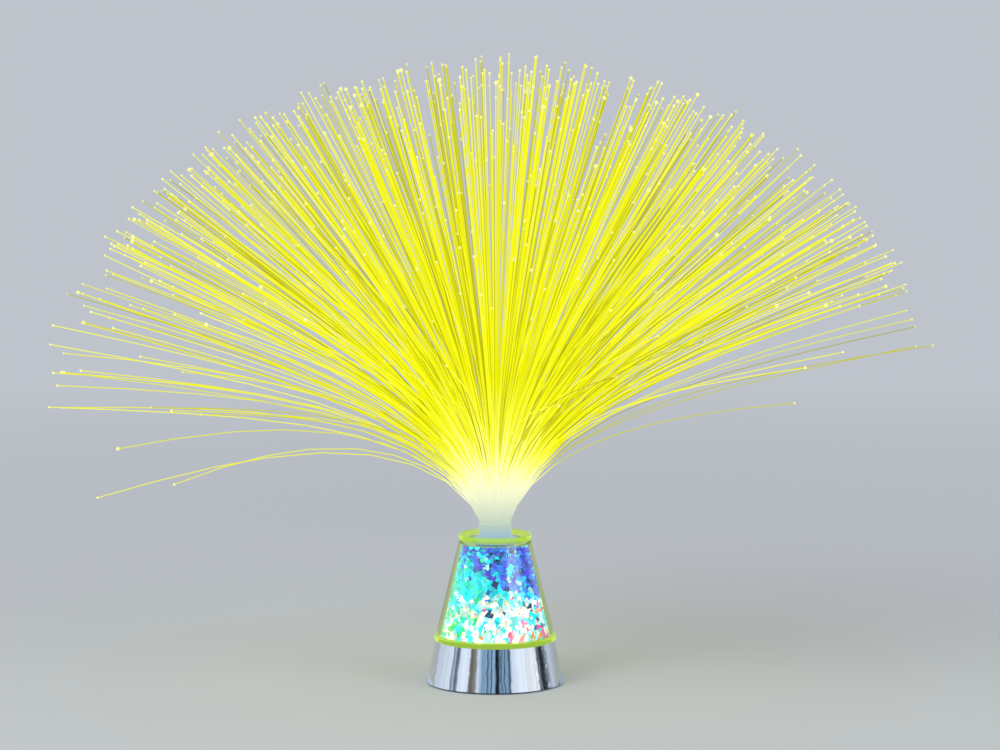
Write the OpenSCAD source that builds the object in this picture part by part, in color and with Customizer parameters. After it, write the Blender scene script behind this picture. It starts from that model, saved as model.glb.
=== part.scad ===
// Battery-powered fibre optic lamp: a metallised conical base with the cells and the
// electronics, a clear cone filled with crushed crystal chips, and a plug-in bundle of
// optical fibres that fans out into a dome.
// Millimetres. The origin is the centre of the ground contact plane, +Z is up and the
// front of the lamp faces -Y.

/* [Base shell] */
// Radius of the shell at its lower edge
base_bottom_r = 39; // [38.5:0.5:46]
// Radius of the shell at its deck
base_top_r = 34; // [33.5:0.5:38]
// Height of the shell, lower edge to deck
base_h = 24; // [23.5:0.5:34]
// Height of the lower edge above the table
skirt_gap = 1; // [0.5:0.1:1.6]
// Wall of the shell
shell_wall = 1.8; // [1.2:0.1:2]
// Thickness of the deck
deck_t = 1.8; // [1.2:0.1:2.4]
// Radius of the opening in the deck
deck_opening_r = 20; // [19.5:0.1:20.5]
// Diameter of the screw bosses
boss_d = 6; // [5.4:0.1:6.4]

/* [Bottom plate] */
// Thickness of the plate
plate_t = 2.4; // [2.2:0.1:3]
// Gap between the plate and the shell
plate_gap = 0.3; // [0.1:0.1:0.6]
// Height of the stiffening pad round each screw
boss_pad_h = 0.8; // [0.6:0.1:2]
// Diameter of a rubber foot
foot_d = 6; // [5:0.1:6.4]
// Height of a rubber foot below the plate
foot_t = 2.2; // [2:0.1:3]
// Distance from a foot to the edge of the plate
foot_edge = 1.2; // [0.8:0.1:1.6]

/* [Housing screws] */
// Diameter of the screw shank
screw_d = 2.2; // [2:0.1:2.6]
// Length of the shank under the head
screw_l = 10; // [7:0.5:12]
// Diameter of the head
screw_head_d = 4.6; // [4:0.1:5]
// Height of the head
screw_head_t = 1.5; // [1.2:0.1:1.7]
// Gap round a shank in its pilot hole
screw_gap = 0.05; // [0.03:0.01:0.1]

/* [Cells] */
// Diameter of a cell
cell_d = 10.5; // [10:0.1:10.6]
// Length of a cell with its button
cell_l = 44.5; // [44:0.1:44.8]
// Diameter of the positive button
cell_button_d = 3.8; // [3:0.1:4]
// Height of the positive button
cell_button_h = 1; // [0.8:0.1:1.4]
// Gap between two cells
cell_gap = 0.4; // [0.2:0.1:0.6]
// Gap round the cells in the tray
cell_room = 0.6; // [0.4:0.1:0.8]
// Gap between the door and the cells
cell_floor_gap = 0.5; // [0.3:0.1:0.8]

/* [Battery tray] */
// Wall of the tray
tray_wall = 1.3; // [1:0.1:1.5]
// Distance of the tray's middle behind the lamp's axis
tray_y = 1; // [0.6:0.1:1.4]
// Thickness of a contact plate
contact_t = 0.4; // [0.3:0.05:0.5]
// Width of a contact plate
contact_w = 8; // [6:0.5:9]
// Width of a solder tag
tag_w = 3; // [2:0.1:4]
// Height of a solder tag above the tray
tag_h = 1.5; // [1.2:0.1:1.8]
// Length of a cell spring in use
spring_l = 6.2; // [5.4:0.1:6.4]
// Diameter of a cell spring, middle of the wire
spring_d = 5.6; // [4:0.1:6.5]
// Thickness of the spring wire
spring_wire = 0.5; // [0.4:0.05:0.6]
// Turns of a cell spring
spring_turns = 4; // [3:1:5]

/* [Battery door] */
// Thickness of the door
door_t = 1.5; // [1.3:0.1:1.7]
// Gap round the door
door_gap = 0.3; // [0.2:0.05:0.5]
// Gap between the door and the ledge over it
door_ledge_gap = 0.2; // [0.1:0.05:0.3]
// Width of the ledge that the door closes against
door_ledge = 0.7; // [0.6:0.1:0.8]
// Diameter of a hinge pin
hinge_pin_d = 1; // [0.8:0.05:1.1]
// Length of a hinge pin beyond the door
hinge_pin_l = 1.3; // [1:0.1:1.4]
// Radial clearance of a hinge pin
hinge_fit = 0.06; // [0.03:0.01:0.1]
// Width of a hinge ear, along the pin
hinge_ear_w = 1.5; // [1.2:0.1:1.6]
// Wall of a hinge ear round the pin
hinge_ear_wall = 0.9; // [0.7:0.05:1]
// Width of the latch tongue
latch_w = 12; // [8:0.5:16]
// Length of the latch tongue
latch_l = 8; // [6:0.5:12]
// Width of the slit round the tongue
latch_slit = 0.6; // [0.4:0.1:1]
// Height of the thumb ridge on the tongue
latch_ridge_h = 0.6; // [0.4:0.1:0.8]

/* [Power switch] */
// Distance from the plate's front edge to the middle of the switch
switch_edge = 11.15; // [10.6:0.05:11.5]
// Length of the switch frame
switch_l = 14; // [13:0.5:15]
// Width of the switch frame
switch_w = 7; // [6.4:0.1:7.4]
// Height of the switch frame
switch_h = 5; // [4.8:0.1:6]
// Sheet of the switch frame
switch_sheet = 0.5; // [0.4:0.05:0.6]
// Length of a mounting ear
ear_l = 4; // [3.6:0.1:4.2]
// Width of a mounting ear
ear_w = 4.4; // [4:0.1:5]
// Diameter of a heat-staked peg
peg_d = 1.8; // [1.4:0.1:2]
// Travel of the button between off and on
switch_travel = 4; // [3:0.1:4.2]
// Length of the button's neck
button_l = 3; // [2.4:0.1:3.4]
// Width of the button's neck
button_w = 3.2; // [2.6:0.1:3.6]
// Clearance round the sliding button
button_gap = 0.25; // [0.15:0.05:0.35]
// Height of the button's tip above the table
button_tip_z = 0.8; // [0.5:0.1:1.2]
// Pitch of the switch pins
pin_pitch = 3.4; // [2.8:0.1:4]
// Diameter of a switch pin
pin_d = 1; // [0.8:0.1:1.2]
// Length of a switch pin above its base
pin_l = 2.6; // [2:0.1:3.2]

/* [Circuit] */
// Radius of the circuit board
board_r = 25; // [24.8:0.1:25.4]
// Thickness of the circuit board
board_t = 1.6; // [1:0.1:1.8]
// Height of the posts between the deck and the board
post_h = 2.6; // [2.3:0.1:2.8]
// Diameter of a board post
post_d = 4.6; // [4:0.1:4.8]
// Diameter of a board screw's shank
board_screw_d = 1.6; // [1.4:0.1:2]
// Diameter of a board screw's head
board_screw_head_d = 3.4; // [3:0.1:3.8]
// Height of a board screw's head
board_screw_head_t = 1.2; // [1:0.1:1.4]
// Diameter of the centre LED
led_d = 5; // [4.6:0.1:5.4]
// Height of the centre LED
led_h = 8.6; // [7:0.1:9]
// Radius of the reflector cup
reflector_r = 7.5; // [6.5:0.1:9]
// Height of the reflector cup
reflector_h = 4; // [3:0.1:4.3]
// Number of LEDs that light the chips
chip_led_count = 4; // [3:1:6]
// Side of a chip LED
chip_led_w = 5; // [3:0.1:5]
// Height of a chip LED
chip_led_h = 1.6; // [1:0.1:2]
// Radius of the ring of chip LEDs
chip_led_ring_r = 15; // [14:0.1:15]
// Diameter of an insulated wire
wire_d = 1.4; // [1:0.1:1.6]

/* [Clear cone] */
// Radius of the flange
flange_r = 34.8; // [34:0.1:36]
// Height of the flange
flange_t = 3; // [2:0.1:4]
// Radius of the cone just above the flange
cone_bottom_r = 33.6; // [33:0.1:34]
// Radius of the cone just below the rim
cone_top_r = 20.4; // [19.6:0.1:22]
// Height of the cone, deck to the top of the rim
cone_h = 61; // [52:0.5:72]
// Radius of the rim
rim_r = 20.8; // [20.5:0.1:23]
// Height of the rim's outer band
rim_h = 3.5; // [2:0.1:5]
// How far the rim's inner face lies inside the cone's top radius
rim_inset = 1.8; // [1:0.1:2.2]
// Depth of the dish inside the rim
dish_depth = 3.7; // [2:0.1:4.5]
// Thickness of the cone's top plate
top_plate_t = 1.6; // [1.2:0.1:3]
// Wall of the cone at its foot
cone_foot_wall = 2.4; // [2:0.1:4.5]
// Wall of the cone at its top
cone_head_wall = 2; // [1.6:0.1:3.4]

/* [Chip tray] */
// Thickness of the tray's disc
tray_disc_t = 2.2; // [1.6:0.1:2.6]
// Gap round the disc in the cone's foot
tray_disc_gap = 0.2; // [0.1:0.05:0.3]
// Wall of the ring that centres the tray in the deck
tray_spigot_wall = 1.2; // [1:0.1:1.4]
// Wall of the tube that holds the bundle
tube_wall = 2; // [1.4:0.1:2.4]
// Gap between the tube and the cone's top plate
tube_gap = 0.2; // [0.1:0.05:0.3]
// Gap between the chips and what holds them
chip_gap = 0.3; // [0.1:0.05:0.6]
// Empty height above the chips
chip_headroom = 1; // [0.5:0.5:8]

/* [Bundle] */
// Diameter of the ferrule sleeve
ferrule_d = 18.6; // [17:0.1:19.2]
// Wall of the ferrule sleeve
ferrule_wall = 0.7; // [0.5:0.1:1]
// Radial clearance of the ferrule in the tube
ferrule_gap = 0.3; // [0.1:0.05:0.5]
// Height of the ferrule above its collar's seat
ferrule_stand = 9.5; // [7:0.5:14]
// Gap between the centre LED and the ferrule
ferrule_led_gap = 4.8; // [1:0.1:10]
// Diameter of the ferrule's collar
collar_d = 25.2; // [24.6:0.1:28]
// Thickness of the ferrule's collar
collar_t = 1.2; // [0.8:0.1:2]
// Gap between the potted fibres and the ferrule
core_gap = 0.05; // [0.02:0.01:0.1]
// Thickness of the fused slice that the free fibres start from
slice_t = 2; // [1.5:0.1:3]

/* [Fibres] */
// Number of fibres
fibre_count = 300; // [300:1:360]
// Diameter of a fibre
fibre_d = 0.7; // [0.4:0.01:0.72]
// Free length of a fibre at the middle of the dome
fibre_l = 261; // [200:1:320]
// How much longer the fibres at the dome's side are, as a fraction
side_longer = 0.05; // [0:0.01:0.1]
// How much the lengths vary, as a fraction
length_spread = 0.02; // [0:0.005:0.05]
// Lean of the outermost fibres at their tips
lean_max = 84; // [60:1:88]
// Lean up to which the dome is evenly filled
lean_even = 64; // [45:1:70]
// Fraction of the fibres inside the evenly filled dome
even_share = 0.9; // [0.8:0.01:0.95]
// Fraction of its lean that a fibre has where it leaves the slice
lean_start = 0.2; // [0.1:0.01:0.3]
// Length over which a fibre bends over, as a fraction of its own
bend_length = 0.24; // [0.15:0.01:0.4]
// Extra lean of the few fibres that droop at the left
droop = 20; // [0:1:26]
// How much shorter the drooping fibres are, as a fraction
droop_shorter = 0.07; // [0:0.01:0.15]
// Direction of the first fibre, which turns the whole pattern
first_azimuth = 340; // [0:5:355]
// Gap between the outermost fibre and the edge of the slice
fibre_edge = 0.15; // [0.1:0.05:0.5]

/* [Hidden] */

round_fn = 96;
small_fn = 32;
// How far a cut runs past the face that it starts from
past = 1;
golden_angle = 137.508;

// Heights, from the table up
plate_z0 = foot_t;
plate_z1 = plate_z0 + plate_t;
deck_z1 = skirt_gap + base_h;
deck_z0 = deck_z1 - deck_t;
cell_z = plate_z0 + door_t + cell_floor_gap + cell_d / 2;
tray_z0 = cell_z + cell_d / 2 + 0.3;
tray_z1 = tray_z0 + tray_wall;
board_z1 = deck_z0 - post_h;
board_z0 = board_z1 - board_t;
led_top_z = board_z1 + led_h;
flange_z1 = deck_z1 + flange_t;
rim_z1 = deck_z1 + cone_h;
rim_z0 = rim_z1 - rim_h;
seat_z = rim_z1 - dish_depth;
cavity_z1 = seat_z - top_plate_t;
disc_z1 = deck_z1 + tray_disc_t;
cavity_z0 = disc_z1 + tray_disc_gap;
ferrule_z0 = led_top_z + ferrule_led_gap;
ferrule_z1 = seat_z + ferrule_stand;
slice_z1 = ferrule_z1;
slice_z0 = slice_z1 - slice_t;

// Radii and places that follow from the sizes above
function shell_r(z) = base_bottom_r + (base_top_r - base_bottom_r) * (z - skirt_gap) / base_h;
function shell_in_r(z) = shell_r(z) - shell_wall;
plate_r = shell_in_r(plate_z1) - plate_gap;
boss_ring_r = shell_in_r(deck_z0) - boss_d / 2 + 0.2;
boss_angles = [90, 238, 302];
foot_ring_r = plate_r - foot_d / 2 - foot_edge;
foot_angles = [45, 135, 225, 315];
post_x = deck_opening_r + post_d / 2;
tray_in_l = cell_l + spring_l + 2 * contact_t;
tray_in_w = 3 * cell_d + 2 * cell_gap + 2 * cell_room;
cell_pitch = cell_d + cell_gap;
door_z1 = plate_z0 + door_t;
door_w = tray_in_w + 2 * door_ledge - 2 * door_gap;
hinge_x = -tray_in_l / 2 - door_ledge;
hinge_z = plate_z0 + door_t / 2;
door_end_x = tray_in_l / 2 + door_ledge - door_gap;
ear_r = hinge_pin_d / 2 + hinge_fit + hinge_ear_wall;
switch_y = switch_edge - plate_r;
switch_x = switch_travel / 2;
switch_z1 = plate_z1 + switch_h;
ear_hole_x = switch_l / 2 + ear_l / 2;
slot_l = button_l + switch_travel + 2 * button_gap;
slot_w = button_w + 2 * button_gap;
ferrule_r = ferrule_d / 2;
bore_r = ferrule_r + ferrule_gap;
tube_r = bore_r + tube_wall;
hole_r = tube_r + tube_gap;
disc_r = flange_r - cone_foot_wall + 0.2;
dish_r = cone_top_r - rim_inset;
core_r = ferrule_r - ferrule_wall - core_gap;
fibre_r = fibre_d / 2;
field_r = core_r - fibre_r - fibre_edge;
function cone_r(z) = cone_bottom_r
    + (cone_top_r - cone_bottom_r) * (z - flange_z1) / (rim_z0 - flange_z1);
cavity_bottom_r = cone_r(cavity_z0) - cone_foot_wall;
cavity_top_r = cone_r(cavity_z1) - cone_head_wall;
function cavity_r(z) = cavity_bottom_r
    + (cavity_top_r - cavity_bottom_r) * (z - cavity_z0) / (cavity_z1 - cavity_z0);

// Side of the tray, -1 left and +1 right, at which each cell's negative end lies
cell_minus_side = [-1, 1, -1];
function cell_y(i) = tray_y + (i - 1) * cell_pitch;

// Routes of the wires, from the solder tags over the tray to the switch and the board
wire_z = tray_z1 + wire_d / 2 + 0.1;
tag_x = tray_in_l / 2 - contact_t;
pin_top_z = switch_z1 + pin_l;
red_route = [
    [tag_x, cell_y(2), wire_z], [tag_x - 0.8, cell_y(2), wire_z],
    [tag_x - 1.6, cell_y(2), wire_z], [20, 8, wire_z], [17, 2, wire_z],
    [14, -5, wire_z], [10, -11, wire_z], [6.4, -15.6, wire_z],
    [pin_pitch + 1, switch_y + 5.6, wire_z - 0.3], [pin_pitch + 0.1, switch_y + 2.4, 15.8],
    [pin_pitch, switch_y + 0.6, pin_top_z + 2.4], [pin_pitch, switch_y, pin_top_z + 1.4],
    [pin_pitch, switch_y, pin_top_z + 0.7], [pin_pitch, switch_y, pin_top_z]
];
white_route = [
    [0, switch_y, pin_top_z], [0, switch_y, pin_top_z + 0.7],
    [0, switch_y, pin_top_z + 1.4], [0, switch_y + 0.8, pin_top_z + 2.8],
    [0, switch_y + 2.4, pin_top_z + 4], [0, switch_y + 3.2, pin_top_z + 5],
    [0, switch_y + 3.4, board_z0 - 1.1], [0, switch_y + 3.4, board_z0 - 0.6],
    [0, switch_y + 3.4, board_z0]
];
black_route = [
    [-tag_x, cell_y(0), wire_z], [0.8 - tag_x, cell_y(0), wire_z],
    [1.6 - tag_x, cell_y(0), wire_z], [-21.6, cell_y(0) - 0.5, wire_z],
    [-19.8, cell_y(0) - 1.5, wire_z + 0.2], [-19, cell_y(0) - 2.1, board_z0 - 1.1],
    [-19, cell_y(0) - 2.1, board_z0 - 0.6], [-19, cell_y(0) - 2.1, board_z0]
];

// A vector at unit length
function unit(v) = v / norm(v);
// The part of v that is square to the unit vector t, at unit length
function square_to(v, t) = unit(v - (v * t) * t);

// A solid tube: rings of the given side count swept along points, with flat ends
module swept_tube(points, r, sides, first_side) {
    last = len(points) - 1;
    tangents = [for (k = [0:last])
        unit(points[min(k + 1, last)] - points[max(k - 1, 0)])];
    sides_at = [for (k = 0, u = square_to(first_side, tangents[0]); k <= last;
        k = k + 1, u = k <= last ? square_to(u, tangents[k]) : u) u];
    rings = [for (k = [0:last]) for (j = [0:sides - 1])
        let (a = 360 * j / sides, v = cross(tangents[k], sides_at[k]))
        points[k] + r * (cos(a) * sides_at[k] + sin(a) * v)];
    walls = [for (k = [0:last - 1]) for (j = [0:sides - 1])
        let (a = k * sides + j, b = k * sides + (j + 1) % sides) each
        [[a, a + sides, b], [b, a + sides, b + sides]]];
    caps = [[for (j = [0:sides - 1]) j], [for (j = [sides - 1:-1:0]) last * sides + j]];
    polyhedron(points = rings, faces = concat(walls, caps));
}

// Points of a smooth curve through the route, two to each of its stretches
function smooth_route(route) = let (last = len(route) - 1) [
    for (k = [0:last - 1]) let (
        a = route[max(k - 1, 0)],
        b = route[k],
        c = route[k + 1],
        d = route[min(k + 2, last)]
    ) each [b, (9 * (b + c) - a - d) / 16],
    route[last]
];

module wire(route, colour, first_side) {
    color(colour)
        swept_tube(smooth_route(route), wire_d / 2, 8, first_side);
}

// A box given by its lowest and highest corners
module box(low, high) {
    translate(low)
        cube(high - low);
}

// A round bar that stands on z0
module post(r, z0, z1, fn = small_fn) {
    translate([0, 0, z0])
        cylinder(r = r, h = z1 - z0, $fn = fn);
}

module at_bosses() {
    for (a = boss_angles)
        rotate(a)
            translate([boss_ring_r, 0, 0])
                children();
}

module at_feet() {
    for (a = foot_angles)
        rotate(a)
            translate([foot_ring_r, 0, 0])
                children();
}

module at_board_posts() {
    for (side = [-1, 1])
        translate([side * post_x, 0, 0])
            children();
}

// The metallised cone with its deck, screw bosses and board posts
module base_shell() {
    color("silver")
        difference() {
            union() {
                rotate_extrude($fn = round_fn)
                    polygon([
                        [shell_in_r(skirt_gap), skirt_gap], [base_bottom_r, skirt_gap],
                        [base_top_r, deck_z1], [deck_opening_r, deck_z1],
                        [deck_opening_r, deck_z0], [shell_in_r(deck_z0), deck_z0]
                    ]);
                at_bosses()
                    post(boss_d / 2, plate_z1 + boss_pad_h, deck_z0 + 0.1);
                at_board_posts()
                    post(post_d / 2, board_z1, deck_z0 + 0.1);
            }
            at_bosses()
                post(screw_d / 2 + screw_gap, plate_z0, deck_z0 - 1);
            at_board_posts()
                post(board_screw_d / 2 + screw_gap, board_z0, deck_z1 - 0.6);
        }
}

// The closing plate with the battery tray, the door's recess and the switch slot
module bottom_plate() {
    tray_l = tray_in_l + 2 * tray_wall;
    tray_w = tray_in_w + 2 * tray_wall;
    color("dimgray")
        difference() {
            union() {
                post(plate_r, plate_z0, plate_z1, round_fn);
                box([-tray_l / 2, tray_y - tray_w / 2, plate_z0],
                    [tray_l / 2, tray_y + tray_w / 2, tray_z1]);
                at_bosses()
                    post(boss_d / 2 + 0.5, plate_z0, plate_z1 + boss_pad_h);
                for (side = [-1, 1]) {
                    hinge_ear(side);
                    translate([side * ear_hole_x, switch_y, 0])
                        post(peg_d / 2, plate_z0, plate_z1 + switch_sheet + 0.5);
                }
            }
            box([-tray_in_l / 2, tray_y - tray_in_w / 2, plate_z0 - past],
                [tray_in_l / 2, tray_y + tray_in_w / 2, tray_z0]);
            box([hinge_x - door_t / 2 - door_gap, tray_y - door_w / 2 - door_gap,
                 plate_z0 - 2 * past],
                [door_end_x + door_gap, tray_y + door_w / 2 + door_gap,
                 door_z1 + door_ledge_gap]);
            translate([hinge_x, tray_y, hinge_z])
                rotate([90, 0, 0])
                    cylinder(d = hinge_pin_d + 2 * hinge_fit,
                        h = door_w + 2 * (hinge_pin_l + 0.1), center = true, $fn = small_fn);
            at_bosses() {
                post(screw_d / 2 + screw_gap, plate_z0 - past, plate_z1 + past + boss_pad_h);
                post(screw_head_d / 2 + 0.1, plate_z0 - past, plate_z0 + screw_head_t);
            }
            box([-slot_l / 2, switch_y - slot_w / 2, plate_z0 - past],
                [slot_l / 2, switch_y + slot_w / 2, plate_z1 + past]);
            tag_slots();
        }
}

// An ear below the plate that holds one hinge pin of the door
module hinge_ear(side) {
    y0 = door_w / 2 + door_gap;
    translate([hinge_x, tray_y + side * (y0 + hinge_ear_w / 2), 0]) {
        translate([0, 0, hinge_z])
            rotate([90, 0, 0])
                cylinder(r = ear_r, h = hinge_ear_w, center = true, $fn = small_fn);
        box([-ear_r, -hinge_ear_w / 2, hinge_z], [ear_r, hinge_ear_w / 2, plate_z1]);
    }
}

// Slots through the tray's ceiling for the two solder tags
module tag_slots() {
    for (spot = [[-1, 0], [1, 2]])
        translate([spot[0] * (tray_in_l / 2 - contact_t / 2), cell_y(spot[1]), 0])
            box([-contact_t / 2 - 0.1, -tag_w / 2 - 0.1, tray_z0 - past],
                [contact_t / 2 + 0.1, tag_w / 2 + 0.1, tray_z1 + past]);
}

module foot_pads() {
    color("black")
        at_feet()
            rotate_extrude($fn = small_fn)
                polygon([
                    [0, 0], [foot_d / 2 - 0.4, 0], [foot_d / 2, 0.4], [foot_d / 2, plate_z0],
                    [0, plate_z0]
                ]);
}

// A screw, head down, with a cross recess; its head's lower face is on z = 0
module screw(shank_d, shank_l, head_d, head_t) {
    difference() {
        union() {
            post(head_d / 2, 0, head_t);
            post(shank_d / 2, 0, head_t + shank_l);
        }
        for (a = [0, 90])
            rotate(a)
                box([-head_d * 0.3, -head_d * 0.07, -past], [head_d * 0.3, head_d * 0.07, head_t * 0.5]);
    }
}

module housing_screws() {
    color("gray")
        at_bosses()
            translate([0, 0, plate_z0])
                screw(screw_d, screw_l, screw_head_d, screw_head_t);
}

module board_screws() {
    color("gray")
        at_board_posts()
            translate([0, 0, board_z0 - board_screw_head_t])
                screw(board_screw_d, board_t + post_h - 0.4, board_screw_head_d,
                    board_screw_head_t);
}

// The battery door: its left edge is a barrel round the hinge axis
module battery_door() {
    y0 = tray_y - door_w / 2;
    y1 = tray_y + door_w / 2;
    tongue_x = door_end_x - latch_l;
    color("dimgray")
        difference() {
            union() {
                box([hinge_x, y0, plate_z0], [door_end_x, y1, door_z1]);
                translate([hinge_x, tray_y, hinge_z])
                    rotate([90, 0, 0]) {
                        cylinder(d = door_t, h = door_w, center = true, $fn = small_fn);
                        cylinder(d = hinge_pin_d, h = door_w + 2 * hinge_pin_l,
                            center = true, $fn = small_fn);
                    }
                for (k = [0:2])
                    translate([door_end_x - 2 - k * 1.4, tray_y, plate_z0])
                        rotate([90, 0, 0])
                            cylinder(r = latch_ridge_h, h = latch_w - 2, center = true,
                                $fn = small_fn);
            }
            for (side = [-1, 1])
                translate([0, tray_y + side * (latch_w + latch_slit) / 2, 0])
                    box([tongue_x, -latch_slit / 2, plate_z0 - past],
                        [door_end_x + past, latch_slit / 2, door_z1 + past]);
        }
}

// A cell along X, its positive button at the end away from minus_side
module battery_cell(i) {
    can_l = cell_l - cell_button_h;
    side = cell_minus_side[i];
    minus_x = side * (tray_in_l / 2 - contact_t - spring_l);
    color("goldenrod")
        translate([minus_x, cell_y(i), cell_z])
            rotate([0, -side * 90, 0])
                rotate_extrude($fn = round_fn)
                    polygon([
                        [0, 0], [cell_d / 2 - 0.6, 0], [cell_d / 2, 0.6],
                        [cell_d / 2, can_l - 0.8], [cell_d / 2 - 0.8, can_l],
                        [cell_button_d / 2, can_l], [cell_button_d / 2, cell_l], [0, cell_l]
                    ]);
}

module battery_cell_1() {
    battery_cell(0);
}

module battery_cell_2() {
    battery_cell(1);
}

module battery_cell_3() {
    battery_cell(2);
}

// One coil spring from a contact plate to a cell's negative end
module contact_spring(i) {
    side = cell_minus_side[i];
    rings = 8 * spring_turns;
    rise = spring_l - spring_wire;
    points = [for (k = [0:rings]) let (a = 45 * k) [
        spring_wire / 2 + rise * k / rings,
        spring_d / 2 * cos(a),
        spring_d / 2 * sin(a)
    ]];
    translate([side * (tray_in_l / 2 - contact_t), cell_y(i), cell_z])
        scale([-side, 1, 1])
            swept_tube(points, spring_wire / 2, 6, [1, 0, 0]);
}

module contact_springs() {
    color("lightgray")
        for (i = [0:2])
            contact_spring(i);
}

// A contact plate on the tray's end wall, from cell i to cell j
module contact_plate(side, i, j) {
    x = side * (tray_in_l / 2 - contact_t / 2);
    translate([x, 0, cell_z])
        box([-contact_t / 2, cell_y(i) - contact_w / 2, -contact_w / 2],
            [contact_t / 2, cell_y(j) + contact_w / 2, contact_w / 2]);
}

module contact_bridges() {
    color("lightgray") {
        contact_plate(1, 0, 1);
        contact_plate(-1, 1, 2);
    }
}

module contact_terminals() {
    color("lightgray")
        for (spot = [[-1, 0], [1, 2]]) {
            contact_plate(spot[0], spot[1], spot[1]);
            translate([spot[0] * (tray_in_l / 2 - contact_t / 2), cell_y(spot[1]), cell_z])
                box([-contact_t / 2, -tag_w / 2, 0],
                    [contact_t / 2, tag_w / 2, tray_z1 + tag_h - cell_z]);
        }
}

// The folded steel frame of the slide switch, with two ears on the plate's pegs
module switch_frame() {
    color("silver")
        translate([0, switch_y, 0])
            difference() {
                union() {
                    box([-switch_l / 2, -switch_w / 2, plate_z1],
                        [switch_l / 2, switch_w / 2, switch_z1]);
                    box([-switch_l / 2 - ear_l, -ear_w / 2, plate_z1],
                        [switch_l / 2 + ear_l, ear_w / 2, plate_z1 + switch_sheet]);
                }
                box([-switch_l / 2 + switch_sheet, -switch_w / 2 + switch_sheet,
                     plate_z1 + switch_sheet],
                    [switch_l / 2 - switch_sheet, switch_w / 2 - switch_sheet,
                     switch_z1 + past]);
                box([-slot_l / 2, -slot_w / 2, plate_z1 - past],
                    [slot_l / 2, slot_w / 2, plate_z1 + past]);
                for (side = [-1, 1])
                    translate([side * ear_hole_x, 0, 0])
                        post(peg_d / 2 + 0.05, plate_z1 - past, plate_z1 + past);
            }
}

module switch_base() {
    color("peru")
        translate([0, switch_y, 0])
            difference() {
                box([-switch_l / 2 + switch_sheet, -switch_w / 2 + switch_sheet,
                     switch_z1 - 1.2],
                    [switch_l / 2 - switch_sheet, switch_w / 2 - switch_sheet, switch_z1]);
                for (k = [-1:1])
                    translate([k * pin_pitch, 0, 0])
                        post(pin_d / 2, switch_z1 - 1.2 - past, switch_z1 + past);
            }
}

module switch_pins() {
    color("lightgray")
        for (k = [-1:1])
            translate([k * pin_pitch, switch_y, 0])
                post(pin_d / 2, switch_z1 - 1.2, switch_z1 + pin_l);
}

// The sliding button at ON: a carriage in the frame, a neck and a ridged tip
module switch_button() {
    carriage_w = switch_w - 2 * switch_sheet - 2 * button_gap;
    carriage_l = switch_l - 2 * switch_sheet - switch_travel - 2 * button_gap;
    carriage_z0 = plate_z1 + switch_sheet + 0.1;
    color("black")
        translate([switch_x, switch_y, 0])
            difference() {
                union() {
                    box([-carriage_l / 2, -carriage_w / 2, carriage_z0],
                        [carriage_l / 2, carriage_w / 2, switch_z1 - 1.2 - 0.2]);
                    box([-button_l / 2, -button_w / 2, button_tip_z],
                        [button_l / 2, button_w / 2, carriage_z0 + 0.1]);
                }
                for (k = [-1:1])
                    translate([k * 0.9, 0, 0])
                        box([-0.2, -button_w / 2 - past, button_tip_z - past],
                            [0.2, button_w / 2 + past, button_tip_z + 0.3]);
            }
}

module circuit_board() {
    color("seagreen")
        difference() {
            post(board_r, board_z0, board_z1, round_fn);
            at_board_posts()
                post(board_screw_d / 2 + screw_gap, board_z0 - past, board_z1 + past);
        }
}

// The centre LED: a collar, a round body and a dome
module centre_led() {
    dome_r = led_d / 2;
    color("white")
        rotate_extrude($fn = small_fn)
            union() {
                translate([0, board_z1])
                    square([dome_r + 0.4, 1]);
                translate([0, board_z1])
                    square([dome_r, led_h - dome_r]);
                intersection() {
                    translate([0, led_top_z - dome_r])
                        circle(r = dome_r, $fn = small_fn);
                    translate([0, led_top_z - dome_r - 0.1])
                        square([dome_r, dome_r + 0.1]);
                }
            }
}

module led_reflector() {
    foot_in_r = led_d / 2 + 0.7;
    color("white")
        rotate_extrude($fn = round_fn)
            polygon([
                [foot_in_r, board_z1], [reflector_r, board_z1],
                [reflector_r, board_z1 + reflector_h],
                [reflector_r - 0.6, board_z1 + reflector_h], [foot_in_r, board_z1 + 1]
            ]);
}

// The LEDs that light the chips, each with its round window
module chip_leds() {
    color("ivory")
        for (k = [0:chip_led_count - 1])
            rotate(45 + 360 * k / chip_led_count)
                translate([chip_led_ring_r, 0, board_z1])
                    difference() {
                        box([-chip_led_w / 2, -chip_led_w / 2, 0],
                            [chip_led_w / 2, chip_led_w / 2, chip_led_h]);
                        post(chip_led_w * 0.36, chip_led_h - 0.3, chip_led_h + past);
                    }
}

module controller_chip() {
    chip_w = 5;
    chip_d = 3.6;
    color("black")
        translate([0, -board_r + 5, board_z1])
            union() {
                box([-chip_w / 2, -chip_d / 2, 0.2], [chip_w / 2, chip_d / 2, 1.6]);
                for (k = [0:3])
                    translate([-chip_w / 2 + 0.6 + k * 1.27, 0, 0])
                        box([-0.2, -chip_d / 2 - 1, 0], [0.2, chip_d / 2 + 1, 0.4]);
            }
}

module resistors() {
    color("black")
        for (k = [0:chip_led_count - 1])
            rotate(360 * k / chip_led_count)
                translate([reflector_r + 3, 0, board_z1])
                    box([-0.8, -1.6, 0], [0.8, 1.6, 0.6]);
}

module red_wire() {
    wire(red_route, "red", [0, 0, 1]);
}

module white_wire() {
    wire(white_route, "white", [1, 0, 0]);
}

module black_wire() {
    wire(black_route, "black", [0, 0, 1]);
}

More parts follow.
